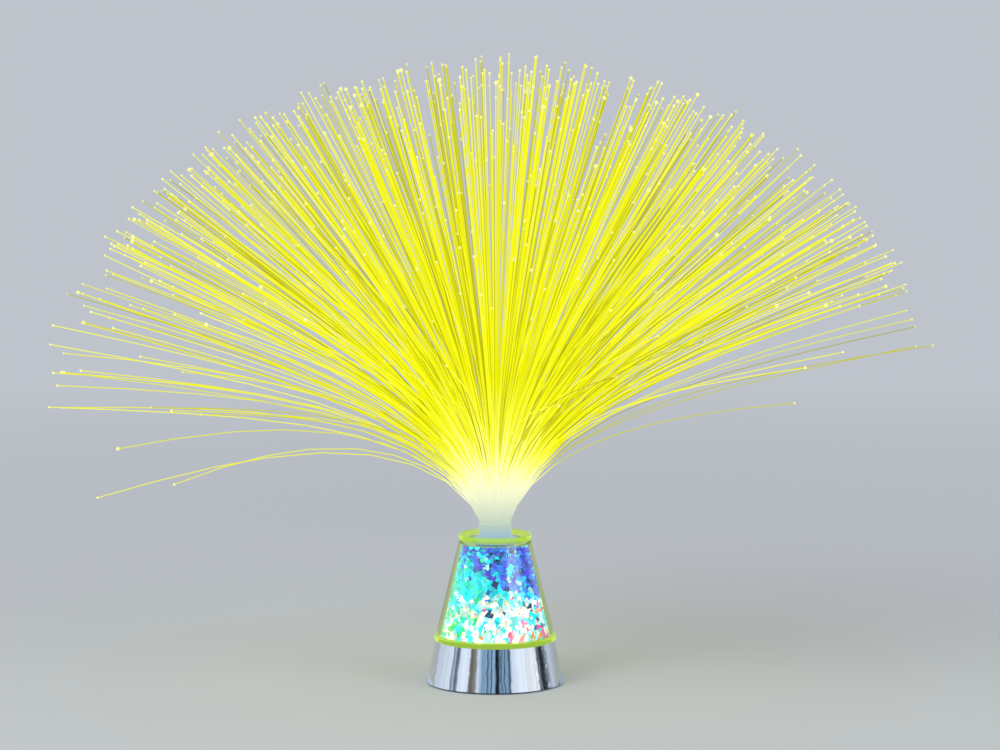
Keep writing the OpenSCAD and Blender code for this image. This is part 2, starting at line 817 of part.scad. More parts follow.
// The clear cone: flange, tapering wall, top plate and dished rim
module crystal_cone() {
    foot_seat_r = disc_r + tray_disc_gap;
    color("palegreen", 0.4)
        rotate_extrude($fn = round_fn)
            polygon([
                [foot_seat_r, deck_z1], [flange_r - 0.8, deck_z1], [flange_r, deck_z1 + 0.8],
                [flange_r, flange_z1 - 0.4], [flange_r - 0.4, flange_z1],
                [cone_bottom_r, flange_z1], [cone_top_r, rim_z0], [rim_r, rim_z0 + 0.3],
                [rim_r, rim_z1 - 0.4], [rim_r - 0.4, rim_z1], [dish_r, rim_z1],
                [dish_r, seat_z], [hole_r, seat_z], [hole_r, cavity_z1],
                [cavity_top_r, cavity_z1], [cavity_bottom_r, cavity_z0],
                [foot_seat_r, cavity_z0]
            ]);
}

// The frosted disc under the chips, with the tube that holds the bundle
module chip_tray() {
    spigot_r = deck_opening_r - tray_disc_gap;
    color("gainsboro", 0.6)
        rotate_extrude($fn = round_fn)
            polygon([
                [bore_r, deck_z1], [spigot_r - tray_spigot_wall, deck_z1],
                [spigot_r - tray_spigot_wall, deck_z0], [spigot_r, deck_z0],
                [spigot_r, deck_z1], [disc_r, deck_z1], [disc_r, disc_z1],
                [tube_r, disc_z1], [tube_r, seat_z], [bore_r, seat_z]
            ]);
}

// The body of crushed chips between the tube and the cone
module crystal_fill() {
    z0 = cavity_z0 + chip_gap;
    z1 = cavity_z1 - chip_headroom;
    in_r = tube_r + chip_gap;
    color("deepskyblue")
        rotate_extrude($fn = round_fn)
            polygon([
                [in_r, z0], [cavity_r(z0) - chip_gap, z0], [cavity_r(z1) - chip_gap, z1],
                [in_r, z1]
            ]);
}

// The sleeve of the bundle, with the collar that rests on the tube
module ferrule_sleeve() {
    in_r = ferrule_r - ferrule_wall;
    color("whitesmoke")
        rotate_extrude($fn = round_fn)
            polygon([
                [in_r, ferrule_z0], [ferrule_r, ferrule_z0], [ferrule_r, seat_z],
                [collar_d / 2, seat_z], [collar_d / 2, seat_z + collar_t],
                [ferrule_r, seat_z + collar_t], [ferrule_r, ferrule_z1], [in_r, ferrule_z1]
            ]);
}

// The potted end of the bundle, up to the fused slice
module bundle_core() {
    color("lightyellow")
        post(core_r, ferrule_z0, slice_z0, round_fn);
}

// A repeatable number from -1 to 1 for fibre i
function scatter(i) = 2 * ((i * 0.61803 + i * i * 0.00731) % 1) - 1;
// How far fibre i is from the middle of the bundle to its edge, by area
function spot(i) = (i + 0.5) / fibre_count;
function azimuth(i) = first_azimuth + i * golden_angle;
// 1 on the left side of the bundle's edge, falling to 0 away from it
function leftness(i) = max(0, cos(azimuth(i) - 180) - 0.6) / 0.4 * max(0, spot(i) - 0.93) / 0.07;
// Lean at the tip: even over the dome, then thinning to the outermost fibres
function even_lean(u) = acos(1 - u / even_share * (1 - cos(lean_even)));
function outer_lean(u) = lean_even
    + (lean_max - lean_even) * (u - even_share) / (1 - even_share);
function tip_lean(i) = (spot(i) < even_share ? even_lean(spot(i)) : outer_lean(spot(i)))
    + droop * leftness(i);
function free_length(i) = fibre_l * (1 + side_longer * pow(sin(tip_lean(i)), 2)
    - droop_shorter * leftness(i) + length_spread * scatter(i));
// Lean of fibre i at the fraction t of its length
function lean_at(i, t) = tip_lean(i)
    * (lean_start + (1 - lean_start) * (1 - exp(-t / bend_length)) / (1 - exp(-1 / bend_length)));
// Lengths of a fibre are short where it bends most
function step_count(i) = tip_lean(i) < 26 ? 2 : tip_lean(i) < 62 ? 3 : 4;
function step_at(k, n) = pow(k / n, 1.6);

// Length of fibre i's stretch from ring k to the next
function stretch(i, k) = let (n = step_count(i))
    free_length(i) * (step_at(k + 1, n) - step_at(k, n));
// Lean of that stretch, taken at its middle
function stretch_lean(i, k) = let (n = step_count(i))
    lean_at(i, (step_at(k + 1, n) + step_at(k, n)) / 2);
// Centre line of fibre i in its own upright plane: distance from the axis, height
function fibre_line(i) = let (last = step_count(i)) [
    for (k = 0, p = [field_r * sqrt(spot(i)), slice_z1]; k <= last;
        p = p + stretch(i, k) * [sin(stretch_lean(i, k)), cos(stretch_lean(i, k))],
        k = k + 1) p
];

// One three-sided fibre: its first ring lies flat on the slice, the others square to it
module fibre(i) {
    line = fibre_line(i);
    last = step_count(i);
    rings = [for (k = [0:last]) let (a = k == 0 ? 0 : lean_at(i, step_at(k, last)))
        for (j = [0:2]) let (c = fibre_r * cos(120 * j), s = fibre_r * sin(120 * j))
        [line[k][0] + c * cos(a), s, line[k][1] - c * sin(a)]];
    walls = [for (k = [0:last - 1]) for (j = [0:2])
        let (a = k * 3 + j, b = k * 3 + (j + 1) % 3) each
        [[a, a + 3, b], [b, a + 3, b + 3]]];
    rotate(azimuth(i))
        polyhedron(points = rings,
            faces = concat(walls, [[0, 1, 2], [last * 3 + 2, last * 3 + 1, last * 3]]));
}

// A point of fibre i's centre line in space, at its ring k
function fibre_point(i, k) = let (p = fibre_line(i)[k])
    [p[0] * cos(azimuth(i)), p[0] * sin(azimuth(i)), p[1]];
// Least distance between two neighbours of the spiral, less one fibre's thickness
function least_gap() = min([for (i = [0:fibre_count - 1]) for (d = [1, 2, 3, 5, 8, 13, 21, 34, 55])
    if (i + d < fibre_count) for (k = [0:2])
        norm(fibre_point(i, k) - fibre_point(i + d, k))]) - fibre_d;

// The free fibres, fused to a slice of their potted end
module fibre_spray() {
    echo(least_gap_between_fibres = least_gap());
    color("yellow")
        resize([0, 0, 0])
            union() {
                post(core_r, slice_z0, slice_z1, small_fn);
                for (i = [0:fibre_count - 1])
                    fibre(i);
            }
}

base_shell();
bottom_plate();
foot_pads();
housing_screws();
battery_door();
battery_cell_1();
battery_cell_2();
battery_cell_3();
contact_springs();
contact_bridges();
contact_terminals();
switch_frame();
switch_base();
switch_pins();
switch_button();
circuit_board();
board_screws();
centre_led();
led_reflector();
chip_leds();
controller_chip();
resistors();
red_wire();
white_wire();
black_wire();
crystal_cone();
chip_tray();
crystal_fill();
ferrule_sleeve();
bundle_core();
fibre_spray();
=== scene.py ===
"""The looks of a small battery fibre optic lamp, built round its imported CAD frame.

A chrome-look conical base carries a clear acrylic cone full of iridescent crushed chips.
A bundle of optical fibres is plugged into the cone's mouth and fans out into a dome.
Sizes in the classes are millimetres, in the CAD frame: +Z up, the camera looks along +Y.
"""

import logging
from dataclasses import dataclass
from enum import Enum

import bmesh
import bpy
import numpy as np
from bpy.types import Material, Node, NodeSocket, NodeTree, Object
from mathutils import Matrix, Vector


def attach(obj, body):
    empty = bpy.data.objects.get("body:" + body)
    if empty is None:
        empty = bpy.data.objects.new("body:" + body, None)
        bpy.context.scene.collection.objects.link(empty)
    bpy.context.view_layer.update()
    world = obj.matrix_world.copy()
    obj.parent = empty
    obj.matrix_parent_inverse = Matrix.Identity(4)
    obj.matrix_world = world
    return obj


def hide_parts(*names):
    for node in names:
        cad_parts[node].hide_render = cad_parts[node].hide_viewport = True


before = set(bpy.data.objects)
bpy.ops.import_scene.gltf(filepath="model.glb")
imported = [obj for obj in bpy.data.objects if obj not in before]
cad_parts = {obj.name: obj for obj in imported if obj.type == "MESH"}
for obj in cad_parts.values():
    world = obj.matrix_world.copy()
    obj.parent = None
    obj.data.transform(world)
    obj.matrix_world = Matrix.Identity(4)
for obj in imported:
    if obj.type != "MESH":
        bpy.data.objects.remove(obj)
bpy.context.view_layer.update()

MM = 0.001
GOLDEN_ANGLE = np.radians(137.508)
SEED = 20

# The Mix node's sockets by number, because their names repeat for each of its data types.
MIX_SHARE, MIX_NUMBER_A, MIX_NUMBER_B, MIX_COLOUR_A, MIX_COLOUR_B, MIXED_COLOUR = 0, 2, 3, 6, 7, 2

log = logging.getLogger("fibre_lamp")


# ---------------- small tools


def srgb(code: str) -> tuple[float, float, float, float]:
    """Turns an sRGB colour into the linear one that Blender's sockets take.

    Args:
        code: The colour as "#RRGGBB".

    Returns:
        Linear red, green, blue and an alpha of 1.
    """
    channels = np.array([int(code[i:i + 2], 16) for i in (1, 3, 5)]) / 255
    linear = np.where(channels <= 0.04045, channels / 12.92, ((channels + 0.055) / 1.055) ** 2.4)
    return (*linear.tolist(), 1.0)


def smooth_step(low: float, high: float, value: np.ndarray) -> np.ndarray:
    """Rises from 0 at low to 1 at high along a smooth curve, or falls if high is below low."""
    share = np.clip((value - low) / (high - low), 0, 1)
    return share * share * (3 - 2 * share)


def add_node(tree: NodeTree, kind: str, inputs: dict | list | None = None, **settings) -> Node:
    """Adds a node with its settings and links.

    Args:
        tree: The node tree that gets it.
        kind: The node's Blender type without its first word, ShaderNode.
        inputs: What each input gets, by name or number, or in a list in the inputs' order.
            It is a value, another node's output, or a node for that node's first output.
        settings: Its properties; stops is a colour ramp's list of (place, "#RRGGBB").

    Returns:
        The new node.
    """
    node = tree.nodes.new("ShaderNode" + kind)
    for name, value in settings.items():
        if name != "stops":
            setattr(node, name, value)
            continue
        elements = node.color_ramp.elements
        while len(elements) < len(value):
            elements.new(1.0)
        for element, (place, code) in zip(elements, value):
            element.position = place
            element.color = srgb(code)
    for name, value in inputs.items() if isinstance(inputs, dict) else enumerate(inputs or ()):
        if isinstance(value, Node):
            value = value.outputs[0]
        if isinstance(value, NodeSocket):
            tree.links.new(value, node.inputs[name])
        else:
            node.inputs[name].default_value = value
    return node


def mottle(
    tree: NodeTree,
    size: float,
    detail: float = 2.0,
    stretch: tuple[float, float, float] = (1.0, 1.0, 1.0),
    ends: tuple[float, float] | None = None,
    cut: tuple[float, float] = (0.3, 0.7),
) -> NodeSocket:
    """Noise on Object coordinates whose patches have a real size.

    Args:
        tree: The node tree that gets it.
        size: Size of a patch in millimetres.
        detail: How many finer layers the noise has.
        stretch: How many times longer a patch is along each axis.
        ends: What the lowest and the highest patches give in place of the plain noise.
        cut: The values of the plain noise that give the two ends.

    Returns:
        The plain noise, from 0 to 1 round 0.5, or a number between the ends.
    """
    place = add_node(tree, "TexCoord").outputs["Object"]
    scale = tuple(1 / (size * MM * s) for s in stretch)
    placed = add_node(tree, "Mapping", {"Vector": place, "Scale": scale})
    noise = add_node(tree, "TexNoise", {"Vector": placed, "Scale": 1.0, "Detail": detail})
    if ends is None:
        return noise.outputs["Fac"]
    return add_node(tree, "MapRange", [noise.outputs["Fac"], *cut, *ends]).outputs[0]


class Measure(Enum):
    """What a finish measures on a piece."""

    ALONG = "X"
    UP = "Z"
    OUT = "distance from the lamp's axis"


def reached(
    tree: NodeTree,
    measure: Measure,
    start: float,
    stop: float,
    ends: tuple[float, float] = (0.0, 1.0),
) -> NodeSocket:
    """How far a point has come from one measure to another, on Object coordinates.

    Args:
        tree: The node tree that gets it.
        measure: What is measured.
        start: The millimetres up to which it gives the first end.
        stop: The millimetres from which it gives the second end.
        ends: The two ends.

    Returns:
        A number that runs straight from the first end to the second.
    """
    place = add_node(tree, "TexCoord").outputs["Object"]
    if measure is Measure.OUT:
        flat = add_node(tree, "VectorMath", [place, (1.0, 1.0, 0.0)], operation="MULTIPLY")
        value = add_node(tree, "VectorMath", [flat], operation="LENGTH").outputs["Value"]
    else:
        value = add_node(tree, "SeparateXYZ", [place]).outputs[measure.value]
    return add_node(tree, "MapRange", [value, start * MM, stop * MM, *ends]).outputs[0]


def empty_material(title: str) -> Material:
    """Makes a material that has no nodes yet.

    Args:
        title: Its name.

    Returns:
        The new material.
    """
    made = bpy.data.materials.new(title)
    made.use_nodes = True
    made.node_tree.nodes.clear()
    return made


# ---------------- meshes


def rounded_outline(corners: np.ndarray, steps: int = 5, guard: float = 0.4) -> np.ndarray:
    """Rounds the corners of a closed outline.

    A corner becomes the quadratic curve from a point that lies its blend back along one side
    to the point that lies as far along the other. One more point beyond each end keeps the
    straight sides flat under smooth shading.

    Args:
        corners: Rows of radius, height and blend, counter-clockwise.
        steps: Points on each corner's curve.
        guard: How many blends beyond a curve's end its one more point lies.

    Returns:
        The outline's points, rows of radius and height.
    """
    point, blend = corners[:, :2], corners[:, 2:3]
    back = np.roll(point, 1, axis=0) - point
    ahead = np.roll(point, -1, axis=0) - point
    back /= np.linalg.norm(back, axis=1, keepdims=True)
    ahead /= np.linalg.norm(ahead, axis=1, keepdims=True)
    start, stop = point + back * blend, point + ahead * blend
    u = np.linspace(0, 1, steps)[None, :, None]
    curve = (1 - u) ** 2 * start[:, None] + 2 * u * (1 - u) * point[:, None] + u**2 * stop[:, None]
    first = start + back * blend * guard
    last = stop + ahead * blend * guard
    return np.concatenate([first[:, None], curve, last[:, None]], axis=1).reshape(-1, 2)


def turned_grid(outline: np.ndarray, segments: int) -> tuple[np.ndarray, np.ndarray]:
    """Turns a closed outline about the lamp's axis: x = r cos a, y = r sin a, z = height.

    Args:
        outline: Rows of radius and height, counter-clockwise, so that the faces point outwards.
        segments: Number of steps round the axis.

    Returns:
        The points, and the four-sided faces as rows of point numbers.
    """
    angle = np.arange(segments) / segments * 2 * np.pi
    radius, height = outline[:, 0], outline[:, 1]
    flat = unit_circle(angle)[:, None] * radius[:, None]
    up = np.broadcast_to(height[:, None], (*flat.shape[:2], 1))
    points = np.concatenate([flat, up], axis=2).reshape(-1, 3)
    i, j = np.meshgrid(np.arange(segments), np.arange(len(radius)), indexing="ij")
    i2, j2 = (i + 1) % segments, (j + 1) % len(radius)
    n = len(radius)
    faces = np.stack([i * n + j, i2 * n + j, i2 * n + j2, i * n + j2], axis=2).reshape(-1, 4)
    return points, faces


def unit_circle(angle: np.ndarray) -> np.ndarray:
    """Points of the unit circle at angles in radians: (cos a, sin a), in a last axis of two."""
    return np.stack([np.cos(angle), np.sin(angle)], axis=-1)


def make_piece(name: str, points: np.ndarray, faces: list, smooth: bool = True) -> Object:
    """Makes an object at the origin from points in millimetres.

    Args:
        name: The piece's name.
        points: Rows of x, y and z.
        faces: Rows of point numbers, outward faces counter-clockwise.
        smooth: Whether the faces are shaded smooth.

    Returns:
        The new object, linked to the scene.
    """
    mesh = bpy.data.meshes.new(name)
    mesh.from_pydata((points * MM).tolist(), [], faces)
    mesh.polygons.foreach_set("use_smooth", np.full(len(mesh.polygons), smooth))
    piece = bpy.data.objects.new(name, mesh)
    bpy.context.scene.collection.objects.link(piece)
    return piece


def close_poles(piece: Object) -> None:
    """Merges the points that meet on the axis, so that a turned solid is closed there.

    Args:
        piece: The turned piece.
    """
    shape = bmesh.new()
    shape.from_mesh(piece.data)
    bmesh.ops.remove_doubles(shape, verts=shape.verts, dist=1e-7)
    shape.to_mesh(piece.data)
    shape.free()


def set_values(piece: Object, name: str, domain: str, values: np.ndarray) -> None:
    """Writes a named attribute: a colour for rows of four numbers, and otherwise a number.

    Args:
        piece: The piece that gets it.
        name: Its name.
        domain: "POINT" or "FACE".
        values: One row or number for each point or face.
    """
    is_colour = values.ndim == 2
    layer = piece.data.attributes.new(name, "FLOAT_COLOR" if is_colour else "FLOAT", domain)
    layer.data.foreach_set("color" if is_colour else "value", values.astype(np.float32).ravel())


# ---------------- finishes


@dataclass(frozen=True)
class Finish:
    """A finish of the lamp. Each kind says what the real material is and how it was made."""

    title: str

    def look(self, tree: NodeTree) -> dict:
        """Adds the nodes of the finish's patterns.

        Args:
            tree: The material's node tree.

        Returns:
            The Principled shader's inputs. "Tint" is the share of the second of two base
            colours and both colours, "Relief" is a height from 0 to 1 with its depth in
            millimetres, and "Volume" is the shader of what is inside the piece.
        """
        raise NotImplementedError

    def material(self) -> Material:
        """Makes the finish's material.

        Returns:
            The new material, with one Principled shader.
        """
        made = empty_material(self.title)
        tree = made.node_tree
        inputs = self.look(tree)
        ends = {"Volume": inputs.pop("Volume")} if "Volume" in inputs else {}
        if "Tint" in inputs:
            share, first, second = inputs.pop("Tint")
            inputs["Base Color"] = add_node(tree, "Mix", {
                MIX_SHARE: share, MIX_COLOUR_A: srgb(first), MIX_COLOUR_B: srgb(second)},
                data_type="RGBA").outputs[MIXED_COLOUR]
        if "Relief" in inputs:
            height, depth = inputs.pop("Relief")
            inputs["Normal"] = add_node(tree, "Bump", {"Height": height, "Distance": depth * MM})
        ends["Surface"] = add_node(tree, "BsdfPrincipled", inputs)
        add_node(tree, "OutputMaterial", ends)
        return made


@dataclass(frozen=True)
class MetallisedPlastic(Finish):
    """Vacuum-metallised ABS under clear lacquer.

    A film of aluminium on moulded plastic: a mirror that is a little blue, whose moulding
    waves the reflections slightly, with a faint haze from handling.
    """

    colour: str = "#E2E6EC"

    def look(self, tree: NodeTree) -> dict:
        """Adds the haze of handling and the waves of the moulding."""
        return {
            "Base Color": srgb(self.colour),
            "Metallic": 1.0,
            "Roughness": mottle(tree, size=6.0, detail=5.0, ends=(0.03, 0.09), cut=(0.35, 0.75)),
            "Relief": (mottle(tree, size=8.0, detail=1.0), 0.1),
        }


@dataclass(frozen=True)
class MouldedPlastic(Finish):
    """Injection-moulded ABS or polypropylene from a spark-eroded mould.

    The mould gives an even fine grain, drawn at 0.5 mm so that it shows, which breaks up
    the gloss, and the flow of the plastic leaves faint large patches.
    """

    colour: str = "#222225"
    roughness: float = 0.45
    grain_size: float = 0.5
    grain_depth: float = 0.012
    patch_size: float = 14.0
    patch_swing: float = 0.07

    def look(self, tree: NodeTree) -> dict:
        """Adds the patches, which change shade and gloss together, and the grain."""
        gloss = (self.roughness - self.patch_swing, self.roughness + self.patch_swing)
        return {
            "Base Color": add_node(tree, "HueSaturation", {
                "Color": srgb(self.colour),
                "Value": mottle(tree, self.patch_size, detail=3.0, ends=(0.85, 1.15))}),
            "Roughness": mottle(tree, self.patch_size, detail=3.0, ends=gloss),
            "IOR": 1.53,
            "Relief": (mottle(tree, self.grain_size, detail=1.0), self.grain_depth),
        }


@dataclass(frozen=True)
class FootRubber(Finish):
    """Die-cut neoprene foot pads: dull, dusty at the edges, with open pores of about 0.4 mm."""

    colour: str = "#19191A"
    dust: str = "#3A3936"

    def look(self, tree: NodeTree) -> dict:
        """Adds the dust and the pores."""
        dusty = mottle(tree, size=2.0, detail=4.0, ends=(0.0, 0.6), cut=(0.45, 0.75))
        return {
            "Tint": (dusty, self.colour, self.dust),
            "Roughness": 0.85,
            "IOR": 1.52,
            "Relief": (mottle(tree, size=0.4), 0.05),
        }


@dataclass(frozen=True)
class PlatedSteel(Finish):
    """Rolled or drawn steel with a thin bright plating.

    Rolling leaves fine lines along the strip, and the passivated zinc has a faint tint
    that wanders between bluish and straw.
    """

    cool: str = "#C3C8CE"
    warm: str = "#CFC8B4"
    roughness: float = 0.3
    line_size: float = 0.3
    line_stretch: tuple[float, float, float] = (14.0, 1.0, 1.0)

    def look(self, tree: NodeTree) -> dict:
        """Adds the wandering tint and the lines, which change the gloss and the height.

        Args:
            tree: The material's node tree.

        Returns:
            The Principled shader's inputs.
        """
        straw = mottle(tree, size=3.0, ends=(0.0, 1.0), cut=(0.35, 0.65))
        gloss = (self.roughness - 0.08, self.roughness + 0.1)
        return {
            "Tint": (straw, self.cool, self.warm),
            "Metallic": 1.0,
            "Roughness": mottle(tree, self.line_size, stretch=self.line_stretch, ends=gloss),
            "Relief": (mottle(tree, self.line_size, stretch=self.line_stretch), 0.006),
        }


@dataclass(frozen=True)
class CellSleeve(Finish):
    """A steel cell can in a printed shrink sleeve: black, a copper band at the plus end.

    The sleeve is plain, the two ends are bare nickel-plated steel, and its film is glossy
    with slight ripples from shrinking.
    """

    plus_side: float = 1.0
    length: float = 44.5
    band: float = 11.0
    bare_end: float = 0.8
    colours: tuple[str, ...] = ("#C9CBCD", "#121214", "#B4703A", "#C9CBCD")
    metal: tuple[str, ...] = ("#FFFFFF", "#000000", "#6A6A6A", "#FFFFFF")

    def look(self, tree: NodeTree) -> dict:
        """Adds the bands along the cell, from its minus end, and the film's ripples.

        Args:
            tree: The material's node tree.

        Returns:
            The Principled shader's inputs.
        """
        half = self.length / 2 * self.plus_side
        share = reached(tree, Measure.ALONG, -half, half)
        bare = self.bare_end / self.length
        places = (0.0, bare, 1 - self.band / self.length, 1 - bare)
        colour, metal = (
            add_node(tree, "ValToRGB", [share], stops=list(zip(places, codes)))
            for codes in (self.colours, self.metal))
        colour.color_ramp.interpolation = metal.color_ramp.interpolation = "CONSTANT"
        return {
            "Base Color": colour,
            "Metallic": metal,
            "Roughness": mottle(tree, size=5.0, detail=3.0, ends=(0.2, 0.34)),
            "Relief": (mottle(tree, size=2.5, detail=1.0, stretch=(4.0, 1.0, 1.0)), 0.02),
        }


@dataclass(frozen=True)
class Laminate(Finish):
    """A pressed board: phenolic paper, or glass cloth under a green solder mask.

    Paper shows long pale fibres; on the masked board the copper tracks show as lighter
    green runs, about 1.2 mm wide, under the glossy mask.
    """

    ground: str = "#5A3416"
    fibre: str = "#7A4C22"
    tracks: bool = False
    track_cell: float = 6.0

    def look(self, tree: NodeTree) -> dict:
        """Adds the tracks or the paper's fibres, which change the colour and the height.

        Args:
            tree: The material's node tree.

        Returns:
            The Principled shader's inputs.
        """
        if self.tracks:
            runs = add_node(tree, "TexBrick", {
                "Vector": add_node(tree, "TexCoord").outputs["Object"],
                "Scale": 1 / (self.track_cell * MM), "Mortar Size": 0.1, "Mortar Smooth": 0.1,
                "Color1": srgb("#000000"), "Color2": srgb("#000000"), "Mortar": srgb("#FFFFFF")},
                offset=0.5)
            pattern, roughness, depth = runs.outputs["Color"], 0.3, 0.03
        else:
            pattern = mottle(tree, size=0.5, detail=3.0, stretch=(6.0, 1.0, 1.0))
            roughness, depth = 0.6, 0.01
        return {
            "Tint": (pattern, self.ground, self.fibre),
            "Roughness": roughness,
            "Relief": (pattern, depth),
        }


@dataclass(frozen=True)
class WireInsulation(Finish):
    """Extruded PVC over stranded copper: soft gloss, with the strands' twist just felt."""

    colour: str = "#B01810"
    lump_size: float = 1.2

    def look(self, tree: NodeTree) -> dict:
        """Adds the twist's lumps, which change the gloss, the height and a painted shade."""
        return {
            "Base Color": add_node(tree, "HueSaturation", {
                "Color": srgb(self.colour),
                # Painted shade and light: the relief's own noise darkens the lumps' hollows and
                # lightens their tops.
                "Value": mottle(tree, self.lump_size, ends=(0.88, 1.1))}),
            "Roughness": mottle(tree, self.lump_size, ends=(0.28, 0.42)),
            "IOR": 1.54,
            "Relief": (mottle(tree, self.lump_size), 0.03),
        }


@dataclass(frozen=True)
class LitResin(Finish):
    """Translucent resin or plastic lit from inside: an LED's epoxy, or the frosted tray.

    The light spreads evenly in the body, so that it glows, with faint cloudy patches
    where the filler is thicker.
    """

    colour: str = "#E8EEF2"
    glow: str = "#CFE6F2"
    strength: float = 0.6
    roughness: float = 0.4

    def look(self, tree: NodeTree) -> dict:
        """Adds the cloudy patches and the skin's slight texture."""
        return {
            "Base Color": srgb(self.colour),
            "Roughness": self.roughness,
            "IOR": 1.49,
            "Emission Color": add_node(tree, "HueSaturation", {
                "Color": srgb(self.glow),
                "Value": mottle(tree, size=4.0, detail=3.0, ends=(0.8, 1.1))}),
            "Emission Strength": self.strength,
            "Relief": (mottle(tree, size=0.6, detail=1.0), 0.006),
        }


@dataclass(frozen=True)
class ClearAcrylic(Finish):
    """Injection-moulded clear acrylic with a yellow-green edge.

    Light from the chips runs inside the wall and leaves at its edges, so that the flange
    and the rim glow yellow-green while the wall itself stays clear. Where the eye meets
    the wall at a slant it looks through more of the plastic, which shows its tint there.
    """

    clear: str = "#FEFFFA"
    edge_tint: str = "#C6D850"
    slant: tuple[float, float] = (0.5, 0.66)
    glow: str = "#BEDA1E"
    strength: float = 0.27
    rim_share: float = 0.85
    absorb: str = "#DDF2A0"
    density: float = 60.0
    inner_glow: float = 13.0
    flange_z: float = 28.0
    flange_r: float = 30.5
    rim_z: float = 82.5
    fade: float = 0.8

    def look(self, tree: NodeTree) -> dict:
        """Adds the edges' glow, the tint of long paths, and the moulding's faint marks.

        Args:
            tree: The material's node tree.

        Returns:
            The Principled shader's inputs.
        """
        below = reached(tree, Measure.UP, self.flange_z, self.flange_z + self.fade, (1.0, 0.0))
        outside = reached(tree, Measure.OUT, self.flange_r, self.flange_r + self.fade)
        flange = add_node(tree, "Math", [below, outside], operation="MULTIPLY")
        rim = reached(tree, Measure.UP, self.rim_z, self.rim_z + self.fade, (0.0, self.rim_share))
        edge = add_node(tree, "Math", [flange, rim], operation="MAXIMUM")
        facing = add_node(tree, "LayerWeight", {"Blend": 0.5}).outputs["Facing"]
        thick = add_node(tree, "MapRange", [facing, *self.slant, 0.0, 1.0])
        deep = add_node(tree, "Math", [edge, thick], operation="MAXIMUM")
        absorbed = add_node(tree, "VolumeAbsorption", {
            "Color": srgb(self.absorb), "Density": self.density})
        lit = add_node(tree, "Emission", {"Color": srgb(self.glow), "Strength": self.inner_glow})
        return {
            "Tint": (deep, self.clear, self.edge_tint),
            "Roughness": mottle(tree, size=7.0, detail=4.0, ends=(0.005, 0.025), cut=(0.4, 0.8)),
            "IOR": 1.49,
            "Transmission Weight": 1.0,
            "Emission Color": add_node(tree, "VectorMath", {
                0: srgb(self.glow)[:3], "Scale": edge}, operation="SCALE"),
            "Emission Strength": self.strength,
            "Relief": (mottle(tree, size=11.0, detail=1.0), 0.004),
            "Volume": add_node(tree, "AddShader", [absorbed, lit]),
        }


@dataclass(frozen=True)
class IridescentChips(Finish):
    """Crushed iridescent film and glass chips, lit from below by small LEDs.

    Each facet throws one colour, so the colour is an attribute of the facets, and a thin
    film of about 420 nm adds the gloss that changes colour with the light.
    """

    film: float = 420.0
    body_share: float = 0.12

    def look(self, tree: NodeTree) -> dict:
        """Adds the facets' light, of which the chips' own body keeps a small share."""
        tint = add_node(tree, "Attribute", attribute_name="facet_light").outputs["Color"]
        return {
            "Base Color": add_node(tree, "VectorMath", {
                0: tint, "Scale": self.body_share}, operation="SCALE"),
            "Roughness": 0.12,
            "IOR": 1.5,
            "Specular IOR Level": 0.3,
            "Thin Film Thickness": self.film,
            "Thin Film IOR": 1.65,
            "Emission Color": tint,
            "Emission Strength": 1.35,
        }


@dataclass(frozen=True)
class GlowingSleeve(Finish):
    """Translucent white polyethylene round the bundle, lit through by the fibres.

    White on the part that is plugged in, bluish where it leaves the chips, and pale yellow
    towards its upper edge.
    """

    low: float = 77.0
    high: float = 92.0

    def look(self, tree: NodeTree) -> dict:
        """Adds the glow that changes with the height, and the skin's dull patches."""
        glow = add_node(tree, "ValToRGB", [reached(tree, Measure.UP, self.low, self.high)], stops=[
            (0.0, "#C4CCCE"), (0.27, "#7CB0DE"), (0.56, "#A0C2D4"), (0.8, "#B4CCC8"),
            (1.0, "#BFD0C4")])
        return {
            "Base Color": srgb("#2A2E2A"),
            "Roughness": mottle(tree, size=3.0, detail=3.0, ends=(0.4, 0.55)),
            "IOR": 1.51,
            "Emission Color": glow,
            "Emission Strength": 0.9,
            "Relief": (mottle(tree, size=1.0), 0.01),
        }


@dataclass(frozen=True)
class PottedFibre(Finish):
    """The potted, cut and polished end of the bundle: fibre ends of 0.7 mm in clear epoxy."""

    pitch: float = 0.75

    def look(self, tree: NodeTree) -> dict:
        """Adds the fibres' bright round ends with the darker epoxy between them.

        Args:
            tree: The material's node tree.

        Returns:
            The Principled shader's inputs.
        """
        place = add_node(tree, "TexCoord").outputs["Object"]
        flat = add_node(tree, "VectorMath", [place, (1.0, 1.0, 0.0)], operation="MULTIPLY")
        cells = add_node(tree, "TexVoronoi", {
            "Vector": flat, "Scale": 1 / (self.pitch * MM), "Randomness": 0.35})
        ends = add_node(tree, "ValToRGB", [cells.outputs["Distance"]], stops=[
            (0.0, "#FFFFD2"), (0.4, "#F0F2B0"), (0.5, "#8F9464")])
        return {
            "Base Color": ends,
            "Roughness": 0.25,
            "IOR": 1.49,
            "Emission Color": ends,
            "Emission Strength": 0.5,
        }


